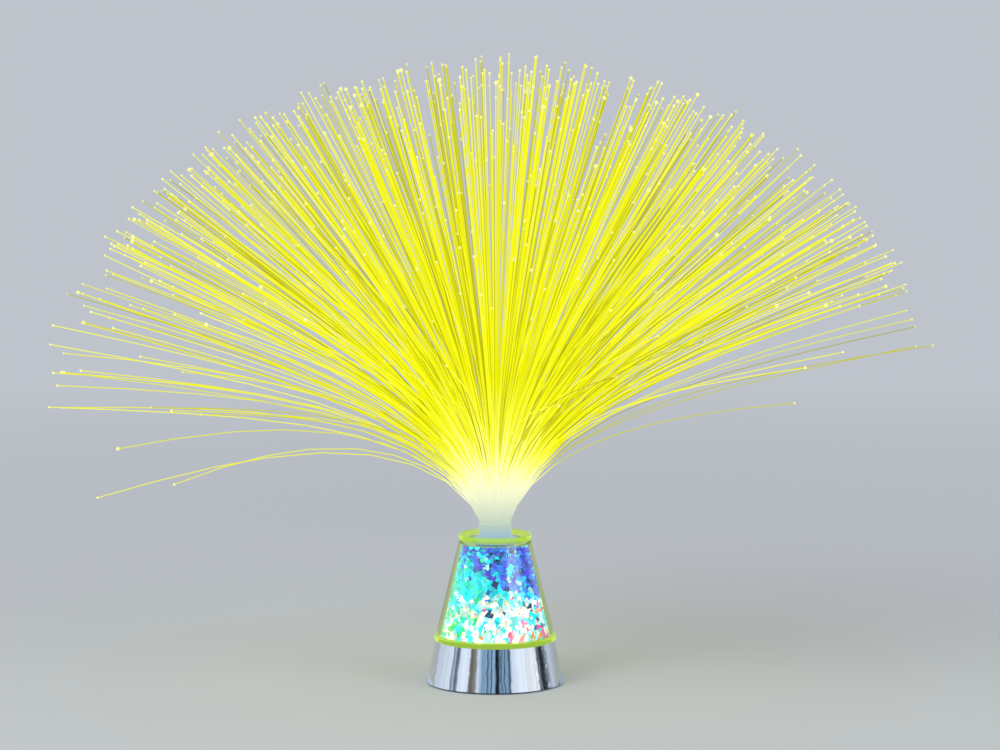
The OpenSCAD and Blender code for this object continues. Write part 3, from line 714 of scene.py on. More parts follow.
@dataclass(frozen=True)
class OpticalFibre(Finish):
    """Side-glowing acrylic optical fibre, coloured by the LED under the bundle.

    Thin drawn strands with a soft gloss: almost white in the middle of the neck, where
    the light of the whole bundle adds up, and saturated yellow from there to the tips.
    Each strand carries its own share of the light in the attribute strand_light, which
    shows from where the white has almost gone.
    """

    neck_z: float = 92.0
    fade_height: float = 84.0
    core_r: float = 8.5
    fade_radius: float = 30.0
    own_share: tuple[float, float] = (0.7, 1.0)
    neck_share: float = 0.99

    def look(self, tree: NodeTree) -> dict:
        """Adds the light, which yellows upwards and outwards and differs by the strand.

        Args:
            tree: The material's node tree.

        Returns:
            The Principled shader's inputs.
        """
        rise = reached(tree, Measure.UP, self.neck_z, self.neck_z + self.fade_height)
        lean = reached(tree, Measure.OUT, self.core_r, self.core_r + self.fade_radius)
        away = add_node(tree, "Math", [rise, lean], operation="MAXIMUM")
        colour = add_node(tree, "ValToRGB", [away], stops=[
            (0.0, "#BFD0BE"), (0.1, "#D8E2C8"), (0.22, "#F0F4CE"), (0.38, "#FCFEC8"),
            (0.52, "#FCFE9C"), (0.7, "#FCFE58"), (1.0, "#FFFF00")])
        own = add_node(tree, "Attribute", attribute_name="strand_light").outputs["Fac"]
        share = add_node(tree, "Mix", {
            MIX_SHARE: add_node(tree, "MapRange", [away, *self.own_share, 0.0, 1.0]),
            MIX_NUMBER_A: self.neck_share, MIX_NUMBER_B: own})
        return {
            "Base Color": srgb("#2E2E08"),
            "Roughness": 0.3,
            "IOR": 1.49,
            "Specular IOR Level": 0.25,
            "Emission Color": add_node(tree, "VectorMath", {
                0: colour, "Scale": share}, operation="SCALE"),
            "Emission Strength": 1.0,
        }


@dataclass(frozen=True)
class LitTip(Finish):
    """The cut end of a fibre, where most of its light leaves: a small bright point."""

    colour: str = "#FFFF9C"

    def look(self, tree: NodeTree) -> dict:
        """Adds the light, which differs by the strand."""
        own = add_node(tree, "Attribute", attribute_name="strand_light").outputs["Fac"]
        return {
            "Base Color": srgb("#4A4A10"),
            "Roughness": 0.35,
            "IOR": 1.49,
            "Emission Color": add_node(tree, "VectorMath", {
                0: srgb(self.colour)[:3], "Scale": own}, operation="SCALE"),
            "Emission Strength": 1.0,
        }


def dress(finish: Finish, *nodes: str) -> None:
    """Gives CAD nodes a finish in all of their slots.

    Args:
        finish: The finish, of which one material is made.
        nodes: The nodes' names.
    """
    material = finish.material()
    for node in nodes:
        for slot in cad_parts[node].material_slots:
            slot.material = material
        log.info("CAD node %s: %s", node, material.name)


def mount_piece(piece: Object, finish: Finish, body: str, slot: str, *nodes: str) -> None:
    """Gives a new piece its finish and its place in the lamp.

    Args:
        piece: The new piece.
        finish: Its finish.
        body: The body that it moves with.
        slot: A material slot's name; not used.
        nodes: The CAD nodes that it stands for, if it stands for any.
    """
    piece.data.materials.append(finish.material())
    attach(piece, body)
    if nodes:
        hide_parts(*nodes)
    log.info("piece %s: %d faces on %s", piece.name, len(piece.data.polygons), body)


# ---------------- sub-assemblies


@dataclass
class BaseHousing:
    """The chrome-look base with everything in it, all of it CAD nodes at their places."""

    cell_length: float = 44.5
    cell_plus_sides: tuple[float, ...] = (1.0, -1.0, 1.0)

    def dress(self) -> None:
        """Gives the base's nodes their finishes."""
        dress(MetallisedPlastic("metallised_abs"), "base_shell")
        dress(MouldedPlastic("black_abs"), "bottom_plate", "battery_door", "switch_button")
        dress(MouldedPlastic("white_abs", "#DEDED8", roughness=0.35), "led_reflector", "chip_leds")
        epoxy = MouldedPlastic(
            "moulded_epoxy", "#141416", roughness=0.6, grain_size=0.3, grain_depth=0.008)
        dress(epoxy, "controller_chip", "resistors")
        dress(PlatedSteel("zinc_plated_steel"), "housing_screws", "board_screws", "switch_frame")
        dress(PlatedSteel("nickel_plated_spring_steel", "#CFCDC8", "#D6CDBB", roughness=0.25),
              "contact_springs", "contact_bridges", "contact_terminals")
        dress(PlatedSteel("tinned_brass_wire", "#CFC8B0", "#C9A85C"), "switch_pins")
        dress(FootRubber("neoprene"), "foot_pads")
        dress(Laminate("phenolic_paper"), "switch_base")
        dress(Laminate("masked_glass_laminate", "#0B3D1E", "#17602F", tracks=True), "circuit_board")
        dress(LitResin("led_epoxy", "#F2F4E0", "#FFFFC8", strength=1.0, roughness=0.1),
              "centre_led")
        dress(WireInsulation("red_pvc", "#B01810"), "red_wire")
        dress(WireInsulation("white_pvc", "#E4E2DA"), "white_wire")
        dress(WireInsulation("black_pvc", "#1A1A1A"), "black_wire")
        for number, side in enumerate(self.cell_plus_sides, start=1):
            dress(CellSleeve(f"cell_sleeve_{number}", side, self.cell_length),
                  f"battery_cell_{number}")


@dataclass
class CrystalCone:
    """The clear cone on the deck: flange, sloping wall, upright rim and the dish inside it."""

    deck_z: float = 25.0
    flange_z: float = 28.0
    rim_low_z: float = 82.5
    rim_high_z: float = 86.0
    seat_z: float = 82.3
    cavity_low_z: float = 27.4
    cavity_high_z: float = 80.7
    foot_r: float = 32.8
    flange_r: float = 34.8
    wall_low_r: float = 33.6
    wall_high_r: float = 20.4
    rim_r: float = 20.8
    rim_inner_r: float = 18.6
    foot_step: float = 0.15
    rim_slant: float = 0.3
    hole_r: float = 11.8
    cavity_low_r: float = 31.35
    cavity_high_r: float = 18.84
    segments: int = 160

    def outline(self) -> np.ndarray:
        """Returns the cross-section's corners, rows of radius, height and blend."""
        return np.array([
            (self.foot_r, self.deck_z, 0.1),
            (self.flange_r, self.deck_z, 0.7),
            (self.flange_r, self.flange_z, 0.6),
            (self.wall_low_r + self.foot_step, self.flange_z, 0.1),
            (self.wall_high_r, self.rim_low_z, 0.15),
            (self.rim_r, self.rim_low_z + self.rim_slant, 0.15),
            (self.rim_r, self.rim_high_z, 0.5),
            (self.rim_inner_r, self.rim_high_z, 0.5),
            (self.rim_inner_r, self.seat_z, 0.5),
            (self.hole_r, self.seat_z, 0.2),
            (self.hole_r, self.cavity_high_z, 0.2),
            (self.cavity_high_r, self.cavity_high_z, 0.6),
            (self.cavity_low_r, self.cavity_low_z, 0.1),
            (self.foot_r, self.cavity_low_z, 0.1),
        ])

    def build(self) -> None:
        """Builds the cone, which stands for the CAD cone with its edges rounded."""
        outline = rounded_outline(self.outline())
        points, faces = turned_grid(outline, self.segments)
        piece = make_piece("clear_cone", points, faces.tolist())
        mount_piece(piece, ClearAcrylic("edge_lit_acrylic"),
                    "base", "clear_acrylic", "crystal_cone")
        dress(LitResin("frosted_lit_acrylic", "#4A5568", "#4E7FE0", roughness=0.6), "chip_tray")


class ChipHue(Enum):
    """The colours that the chips throw."""

    NAVY = "#16237A"
    VIOLET = "#4A3EE0"
    BLUE = "#2A78F4"
    CYAN = "#12E6FF"
    AQUA = "#B4FBFF"
    WHITE = "#FFFFFF"
    CREAM = "#FFF7DC"
    GREEN = "#22EE50"
    PINK = "#F0409C"
    ORANGE = "#FF9A40"
    MINT = "#30F2B0"


@dataclass
class ChipFill:
    """The crushed chips between the tube and the clear wall."""

    cone: CrystalCone
    gap: float = 0.15
    low_z: float = 27.7
    high_z: float = 80.4
    inner_r: float = 11.9
    outer_count: int = 1700
    deep_count: int = 1100
    outer_depth: tuple[float, float] = (0.3, 1.3)
    deep_depth: tuple[float, float] = (1.8, 6.8)
    deep_crowding: float = 1.3
    angle_wander: float = 0.05
    tube_gap: float = 1.0
    size_low: float = 7.4
    size_high: float = 3.5
    size_spread: tuple[float, float] = (0.6, 1.25)
    shard_shape: tuple[float, float, float] = (0.5, 0.42, 0.22)
    shard_ring: tuple[float, float] = (0.89, 0.45)
    shard_skew: float = 0.16
    shard_tip: float = 0.45
    chip_light: tuple[float, float] = (0.6, 0.6)
    facet_light: tuple[float, float] = (0.6, 0.55)
    facet_contrast: float = 1.2
    foot_light: float = 0.1
    # Painted shade: the share of the light that the deep chips keep, so the gaps between the outer
    # chips look shaded.
    deep_shade_share: float = 0.75

    def wall_r(self, height: np.ndarray) -> np.ndarray:
        """Radius at which the chips meet the wall, straight from its foot to its head.

        Args:
            height: Heights in millimetres.

        Returns:
            The radius at each.
        """
        cone = self.cone
        share = (height - cone.cavity_low_z) / (cone.cavity_high_z - cone.cavity_low_z)
        return cone.cavity_low_r + (cone.cavity_high_r - cone.cavity_low_r) * share - self.gap

    def light(self, height: np.ndarray, side: np.ndarray, rng: np.random.Generator) -> np.ndarray:
        """Draws a colour for each chip from weights that change with its place.

        Violet and blue prevail at the top, cyan at the middle left, and white at the
        bottom, with mint and green to the left and pink and orange to the lower right.

        Args:
            height: Share of the fill's height, 0 to 1.
            side: Minus 1 at the left of the lamp's front to 1 at the right.
            rng: The source of random numbers.

        Returns:
            Linear colours, one row a chip.
        """
        top = smooth_step(-0.1, 0.1, height - 0.62 + 0.2 * side)
        bottom = (1 - top) * smooth_step(0.15, -0.15, height - 0.43 - 0.04 * side)
        foot = bottom * smooth_step(0.28, 0.06, height)
        middle = np.clip(1 - top - bottom, 0, 1)
        left, right = (1 - side) / 2, (1 + side) / 2
        weights = {
            ChipHue.NAVY: top * 0.3 + middle * right * 0.15 + bottom * right**2 * 0.35,
            ChipHue.VIOLET: top * (0.9 + 0.5 * right),
            ChipHue.BLUE: top * 1.1 + middle * right * 0.7 + bottom * right**2 * 0.35,
            ChipHue.CYAN: top * (0.35 + 0.5 * left) + middle * (0.8 + 5.0 * left) + bottom * 1.1,
            ChipHue.AQUA: top * 0.1 + middle * 0.2 + bottom * 1.1,
            ChipHue.WHITE: bottom * 2.0 + middle * right * 0.5,
            ChipHue.CREAM: bottom * 0.4,
            ChipHue.GREEN: bottom * left * 0.1 + foot * left**6 * 5.0,
            ChipHue.PINK: (bottom + 0.4 * middle) * right**2 * 0.25 + foot * right**4 * 1.6,
            ChipHue.ORANGE: bottom * right**2 * 0.15 + foot * right**3 * 0.6,
            ChipHue.MINT: left**5 * (top * 0.6 + middle * 5.0 + bottom * 3.0),
        }
        weight = np.stack(list(weights.values()), axis=1)
        chances = np.cumsum(weight, axis=1) / weight.sum(axis=1, keepdims=True)
        pick = (rng.random((len(height), 1)) > chances).sum(axis=1).clip(0, len(weights) - 1)
        palette = np.array([srgb(hue.value)[:3] for hue in weights])
        return palette[pick]

    def places(self, count: int, deep: bool, rng: np.random.Generator) -> np.ndarray:
        """Spreads chips evenly over the conical wall, or at random depths behind it.

        A chip's height follows the wall's area, and its angle grows by the golden angle.

        Args:
            count: How many chips.
            deep: Whether they lie behind the others.
            rng: The source of random numbers.

        Returns:
            Rows of radius, angle and height of the chips' middles.
        """
        low, high = self.wall_r(np.array([self.low_z, self.high_z]))
        u = (np.arange(count) + rng.random(count)) / count
        radius = np.sqrt(low**2 + u * (high**2 - low**2))
        height = self.low_z + (low - radius) / (low - high) * (self.high_z - self.low_z)
        angle = np.arange(count) * GOLDEN_ANGLE + rng.normal(0, self.angle_wander, count)
        near, far = self.deep_depth if deep else self.outer_depth
        inward = near + (far - near) * rng.random(count) ** (self.deep_crowding if deep else 1.0)
        radius = np.maximum(radius - inward, self.inner_r + self.tube_gap)
        return np.stack([radius, angle, height], axis=1)

    def shard_corners(self) -> np.ndarray:
        """Returns the twelve corners of a shard: two poles and two rings of five."""
        radius, lift = self.shard_ring
        turn = np.radians(72.0 * np.arange(5))
        front, back = (
            np.pad(unit_circle(turn + shift) * radius, ((0, 0), (0, 1)), constant_values=height)
            for shift, height in ((0.0, lift), (np.radians(36.0), -lift)))
        return np.concatenate([front, back, [(0, 0, 1), (0, 0, -1)]])

    def shard_faces(self) -> np.ndarray:
        """Returns the twenty triangles of a shard, as rows of corner numbers."""
        j = np.arange(5)
        j2 = (j + 1) % 5
        return np.concatenate([
            np.stack([j, j2, 0 * j + 10], axis=1), np.stack([j2, j, j + 5], axis=1),
            np.stack([j + 5, j2 + 5, j2], axis=1), np.stack([j2 + 5, j + 5, 0 * j + 11], axis=1)])

    def shards(self, places: np.ndarray, rng: np.random.Generator) -> np.ndarray:
        """Places a skewed twenty-faced shard at each place, lying roughly along the wall.

        Args:
            places: Rows of radius, angle and height.
            rng: The source of random numbers.

        Returns:
            Points of shape (shards, 12, 3).
        """
        count = len(places)
        corner = self.shard_corners()
        shape = corner[None] + rng.normal(0, self.shard_skew, (count, len(corner), 3))
        share = (places[:, 2] - self.low_z) / (self.high_z - self.low_z)
        size = self.size_low + (self.size_high - self.size_low) * share
        size = size * rng.uniform(*self.size_spread, count)
        shape = shape * size[:, None, None] * np.array(self.shard_shape)
        turn = rng.uniform(0, 2 * np.pi, count)
        tip_a, tip_b = rng.normal(0, self.shard_tip, (2, count))
        for angle, (a, b) in ((turn, (0, 1)), (tip_a, (0, 2)), (tip_b, (1, 2))):
            cos, sin = np.cos(angle)[:, None], np.sin(angle)[:, None]
            first, second = shape[..., a].copy(), shape[..., b].copy()
            shape[..., a], shape[..., b] = first * cos - second * sin, first * sin + second * cos
        radius, around, height = places.T
        out, along = (
            np.pad(unit_circle(around + quarter), ((0, 0), (0, 1))) for quarter in (0.0, np.pi / 2))
        up = np.array([0.0, 0.0, 1.0])
        middle = out * radius[:, None] + up * height[:, None]
        points = (middle[:, None] + shape[..., 0:1] * along[:, None]
                  + shape[..., 1:2] * up + shape[..., 2:3] * out[:, None])
        return self.kept_inside(points)

    def kept_inside(self, points: np.ndarray) -> np.ndarray:
        """Draws points that lie past the wall, the tube or the ends back onto them.

        Args:
            points: Points whose last axis is x, y and z.

        Returns:
            The same array.
        """
        points[..., 2] = np.clip(points[..., 2], self.low_z, self.high_z)
        radius = np.hypot(points[..., 0], points[..., 1])
        wanted = np.clip(radius, self.inner_r, self.wall_r(points[..., 2]))
        points[..., :2] *= (wanted / radius)[..., None]
        return points

    def build(self) -> None:
        """Builds the chips, which stand for the CAD fill."""
        rng = np.random.default_rng(SEED)
        places = np.concatenate([
            self.places(self.outer_count, False, rng), self.places(self.deep_count, True, rng)])
        points = self.shards(places, rng)
        facet = self.shard_faces()
        faces = (np.arange(len(points))[:, None, None] * points.shape[1] + facet).reshape(-1, 3)
        piece = make_piece("crushed_chips", points.reshape(-1, 3), faces.tolist(), smooth=False)
        height = (places[:, 2] - self.low_z) / (self.high_z - self.low_z)
        side = np.cos(places[:, 1])
        colour = self.light(height, side, rng)
        least, spread = self.chip_light
        chip_share = least + spread * rng.random(len(places))
        chip_share *= 1.0 + self.foot_light * smooth_step(0.5, 0.2, height)
        # Painted shade: the deep chips, seen in the gaps between the outer ones, are dimmer.
        chip_share[self.outer_count:] *= self.deep_shade_share
        least, spread = self.facet_light
        glint = rng.random((len(places), len(facet))) ** self.facet_contrast
        light = colour[:, None] * (chip_share[:, None] * (least + spread * glint))[..., None]
        rgba = np.concatenate([light, np.ones((*light.shape[:2], 1))], axis=2).reshape(-1, 4)
        set_values(piece, "facet_light", "FACE", rgba)
        mount_piece(piece, IridescentChips("iridescent_chips"),
                    "base", "crystal_chips", "crystal_fill")


@dataclass
class FibreSpray:
    """The free fibres with their bright tips, on the fused slice of the bundle."""

    even_count: int = 300
    even_reach: tuple[float, float] = (64.0, 0.9)
    loose_count: int = 600
    loose_reach: tuple[float, float] = (69.0, 0.96)
    loose_wander: tuple[float, float] = (1.8, 0.04)
    least_sine: float = 0.25
    loose_lowest: tuple[float, float] = (81.0, 5.0)
    loose_length: tuple[float, float] = (-0.2, 0.9)
    loose_length_ends: tuple[float, float] = (-2.2, 1.0)
    loose_bend: tuple[float, float] = (0.8, 1.25)
    diameter: float = 0.66
    slice_low_z: float = 89.8
    slice_high_z: float = 91.8
    slice_r: float = 8.5
    slice_segments: int = 64
    root_depth: float = 0.2
    field_r: float = 8.05
    length: float = 261.0
    side_longer: float = 0.05
    length_spread: float = 0.02
    first_azimuth: float = 340.0
    most_lean: float = 84.0
    start_lean: float = 0.2
    bend: float = 0.24
    droop: float = 20.0
    droop_from: float = 0.93
    droop_side: float = 0.6
    droop_shorter: float = 0.07
    left_lower: float = 7.0
    right_lower: float = 5.0
    strays: tuple[tuple[float, float, float, float], ...] = (
        (185.0, 106.0, 0.9, 0.28), (175.0, 112.0, 0.75, 0.44), (190.0, 100.0, 0.87, 0.36),
        (171.0, 92.0, 0.71, 0.38), (180.0, 88.0, 1.02, 0.2), (174.0, 86.0, 1.03, 0.24),
        (193.0, 85.0, 1.04, 0.26), (8.0, 86.0, 0.72, 0.3))
    stray_root: float = 0.97
    rings: int = 10
    ring_crowding: float = 1.35
    sides: int = 4
    fine_steps: int = 96
    tip_d: float = 1.45
    tip_size: tuple[float, float] = (0.75, 1.1)
    big_tip: float = 1.5
    big_tip_share: float = 0.1
    least_tip_light: float = 0.55
    dim_share: float = 0.3
    dim_light: tuple[float, float] = (0.38, 0.65)
    light: tuple[float, float] = (0.78, 1.0)

    def tip_leans(self, spot: np.ndarray, even_lean: float, even_share: float) -> np.ndarray:
        """Works out how far the tips lean from the axis.

        They fill the dome evenly by area up to even_lean, as the cosine falls in equal
        steps, and thin out from there to most_lean.

        Args:
            spot: Places that run from 0 in the middle to 1 outside.
            even_lean: The lean in degrees up to which the tips are even.
            even_share: The share of the fibres up to there.

        Returns:
            The leans in radians.
        """
        within = np.clip(spot / even_share, 0, 1)
        beyond = np.clip((spot - even_share) / (1 - even_share), 0, 1)
        lean = np.arccos(1 - within * (1 - np.cos(np.radians(even_lean))))
        return lean + beyond * np.radians(self.most_lean - even_lean)

    def even_fibres(self) -> tuple[np.ndarray, ...]:
        """The fibres of the frame's even spiral; a few at the left droop and are shorter.

        Returns:
            Root radius, root azimuth, tip azimuth, tip lean, free length and bend of each.
        """
        number = np.arange(self.even_count)
        spot = (number + 0.5) / self.even_count
        azimuth = np.radians(self.first_azimuth) + number * GOLDEN_ANGLE
        leftness = (np.maximum(-np.cos(azimuth) - self.droop_side, 0) / (1 - self.droop_side)
                    * np.maximum(spot - self.droop_from, 0) / (1 - self.droop_from))
        lean = self.tip_leans(spot, *self.even_reach) + np.radians(self.droop) * leftness
        scatter = 2 * ((number * 0.61803 + number**2 * 0.00731) % 1) - 1
        length = self.length * (1 + self.side_longer * np.sin(lean) ** 2
                                - self.droop_shorter * leftness + self.length_spread * scatter)
        bend = np.full(self.even_count, self.bend)
        return self.field_r * np.sqrt(spot), azimuth, azimuth, lean, length, bend

    def loose_fibres(self, rng: np.random.Generator) -> tuple[np.ndarray, ...]:
        """The fibres between those of the spiral, which lie and bend less evenly.

        They reach a little lower at the sides. The wander sideways is a length of arc, so it
        is divided by the sine of the lean, or by least_sine near the axis.

        Args:
            rng: The source of random numbers.

        Returns:
            The same as even_fibres.
        """
        number = np.arange(self.loose_count)
        spot = (number + 0.5) / self.loose_count
        root_azimuth = np.radians(self.first_azimuth) + (number + 0.5) * GOLDEN_ANGLE
        lean = self.tip_leans(spot, *self.loose_reach)
        right = np.cos(root_azimuth)
        lean += (np.radians(self.left_lower) * np.maximum(-right, 0) * np.sin(lean)
                 + np.radians(self.right_lower) * np.maximum(right, 0) * np.sin(lean) ** 3)
        up_and_down, sideways = self.loose_wander
        lowest, lower_left = self.loose_lowest
        lean = np.abs(lean + np.radians(rng.normal(0, up_and_down, self.loose_count)))
        lean = np.minimum(lean, np.radians(lowest - lower_left * right))
        arc = rng.normal(0, sideways, self.loose_count)
        azimuth = root_azimuth + arc / np.maximum(np.sin(lean), self.least_sine)
        scatter = rng.normal(*self.loose_length, self.loose_count).clip(*self.loose_length_ends)
        length = self.length * (
            1 + self.side_longer * np.sin(lean) ** 2 + self.length_spread * scatter)
        bend = self.bend * rng.uniform(*self.loose_bend, self.loose_count)
        return self.field_r * np.sqrt(spot), root_azimuth, azimuth, lean, length, bend

    def stray_fibres(self) -> tuple[np.ndarray, ...]:
        """The few fibres that have slumped below the fan, most of them at the left.

        A stray one bends over slowly, so that it is highest on the way and hangs from
        there to its tip.

        Returns:
            The same as even_fibres.
        """
        azimuth, lean, share, bend = np.array(self.strays).T
        azimuth, lean = np.radians(azimuth), np.radians(lean)
        root = np.full(len(lean), self.field_r * self.stray_root)
        return root, azimuth, azimuth, lean, self.length * share, bend

    def centrelines(self, rng: np.random.Generator) -> tuple[np.ndarray, np.ndarray, np.ndarray]:
        """Follows each fibre from the slice to its tip.

        At the fraction t of its length a fibre leans by its tip's lean times
        s + (1 - s)(1 - exp(-t / b)) / (1 - exp(-1 / b)): it bends over early and then runs
        almost straight. Its place is the running sum of its small steps.

        Args:
            rng: The source of random numbers.

        Returns:
            Points, directions and side directions, each of shape (fibres, rings, 3).
        """
        root, root_azimuth, azimuth, lean, length, bend = (
            np.concatenate(group) for group in zip(
                self.even_fibres(), self.loose_fibres(rng), self.stray_fibres()))
        t = np.linspace(0, 1, self.fine_steps + 1)[None]
        bend = bend[:, None]
        bent = (1 - np.exp(-t / bend)) / (1 - np.exp(-1 / bend))
        lean_at = lean[:, None] * (self.start_lean + (1 - self.start_lean) * bent)
        step = length[:, None] / self.fine_steps
        half = (lean_at[:, 1:] + lean_at[:, :-1]) / 2
        out, up = (np.pad(np.cumsum(part * step, axis=1), ((0, 0), (1, 0)))
                   for part in (np.sin(half), np.cos(half)))
        kept = np.linspace(0, 1, self.rings) ** self.ring_crowding
        pick = np.rint(kept * self.fine_steps).astype(int)
        out, up, lean_at = out[:, pick], up[:, pick], lean_at[:, pick]
        heading = unit_circle(azimuth)[:, None]
        flat = unit_circle(root_azimuth)[:, None] * root[:, None, None] + heading * out[..., None]
        height = self.slice_high_z - self.root_depth + up[..., None]
        points = np.concatenate([flat, height], axis=2)
        heading = np.broadcast_to(heading, flat.shape)
        sine, cosine = np.sin(lean_at)[..., None], np.cos(lean_at)[..., None]
        direction = np.concatenate([heading * sine, cosine], axis=2)
        side = np.stack([-heading[..., 1], heading[..., 0], np.zeros(heading.shape[:2])], axis=2)
        return points, direction, side

    def strands(self, points: np.ndarray, direction: np.ndarray, side: np.ndarray) -> Object:
        """Carries a small polygon along each centreline and closes both ends.

        Args:
            points: The centrelines' points, of shape (fibres, rings, 3).
            direction: The unit vector along the fibre at each.
            side: A level unit vector across the fibre at each.

        Returns:
            The piece.
        """
        across = np.cross(direction, side)
        angle = (np.arange(self.sides) + 0.5) / self.sides * 2 * np.pi
        cosine, sine = np.cos(angle)[:, None], np.sin(angle)[:, None]
        ring = cosine * side[:, :, None] + sine * across[:, :, None]
        skin = points[:, :, None] + ring * self.diameter / 2
        n, k, s = len(points), self.rings, self.sides
        number = np.arange(n * k * s).reshape(n, k, s)
        ahead = np.roll(number, -1, axis=2)
        walls = np.stack([number[:, :-1], ahead[:, :-1], ahead[:, 1:], number[:, 1:]], axis=3)
        roots, ends = number[:, 0, ::-1], number[:, -1]
        faces = walls.reshape(-1, 4).tolist() + roots.tolist() + ends.tolist()
        return make_piece("fibre_strands", skin.reshape(-1, 3), faces)

    def tips(self, ends: np.ndarray, sizes: np.ndarray) -> Object:
        """Puts a bead of 24 faces on each fibre's end.

        A bead's points lie on three rings of six and two poles of a sphere. The real cut
        end is as thin as the fibre, and is drawn coarser so that its light shows.

        Args:
            ends: The fibres' last points.
            sizes: The beads' diameters.

        Returns:
            The piece.
        """
        around = 6
        j = np.arange(around)
        level = np.radians([-50.0, 0.0, 50.0])
        flat = unit_circle(np.radians(j * 360.0 / around)) * np.cos(level)[:, None, None]
        up = np.broadcast_to(np.sin(level)[:, None, None], (*flat.shape[:2], 1))
        rings = np.concatenate([flat, up], axis=2).reshape(-1, 3)
        unit = np.concatenate([rings, [(0, 0, -1), (0, 0, 1)]])
        skin = ends[:, None] + unit * (sizes / 2)[:, None, None]
        j2, bottom, top = (j + 1) % around, 0 * j + len(rings), 0 * j + len(rings) + 1
        middle, high = around, 2 * around
        bands = np.concatenate([
            np.stack([j + low, j2 + low, j2 + low + around, j + low + around], axis=1)
            for low in (0, middle)])
        caps = np.concatenate([
            np.stack([j2, j, bottom], axis=1), np.stack([j + high, j2 + high, top], axis=1)])
        offset = (np.arange(len(ends)) * len(unit))[:, None, None]
        faces = (offset + bands).reshape(-1, 4).tolist() + (offset + caps).reshape(-1, 3).tolist()
        return make_piece("fibre_tips", skin.reshape(-1, 3), faces)

    def fused_slice(self) -> Object:
        """Turns the slice of the bundle that the fibres stand on.

        Returns:
            The piece, closed at the axis.
        """
        outline = rounded_outline(np.array([
            (0.0, self.slice_low_z, 0.0), (self.slice_r, self.slice_low_z, 0.2),
            (self.slice_r, self.slice_high_z, 0.5), (0.0, self.slice_high_z, 0.0)]))
        points, faces = turned_grid(outline, self.slice_segments)
        piece = make_piece("fused_slice", points, faces.tolist())
        close_poles(piece)
        return piece

    def build(self) -> None:
        """Builds the spray, which stands for the CAD spray, and dresses the bundle."""
        rng = np.random.default_rng(SEED + 1)
        points, direction, side = self.centrelines(rng)
        count = len(points)
        share = np.where(rng.random(count) < self.dim_share,
                         rng.uniform(*self.dim_light, count), rng.uniform(*self.light, count))
        strands = self.strands(points, direction, side)
        set_values(strands, "strand_light", "POINT", np.repeat(share, self.rings * self.sides))
        sizes = self.tip_d * np.where(rng.random(count) < self.big_tip_share,
                                      self.big_tip, rng.uniform(*self.tip_size, count))
        tips = self.tips(points[:, -1], sizes)
        tip_light = self.least_tip_light + (1 - self.least_tip_light) * share
        tip_points = len(tips.data.vertices) // count
        set_values(tips, "strand_light", "POINT", np.repeat(tip_light, tip_points))
        mount_piece(strands, OpticalFibre("side_glow_fibre"),
                    "bundle", "optical_fibre", "fibre_spray")
        mount_piece(tips, LitTip("fibre_end"), "bundle", "optical_fibre")
        mount_piece(self.fused_slice(), PottedFibre("fused_fibre"), "bundle", "optical_fibre")
        dress(GlowingSleeve("glowing_sleeve"), "ferrule_sleeve")
        dress(PottedFibre("potted_fibre_ends"), "bundle_core")


# ---------------- studio


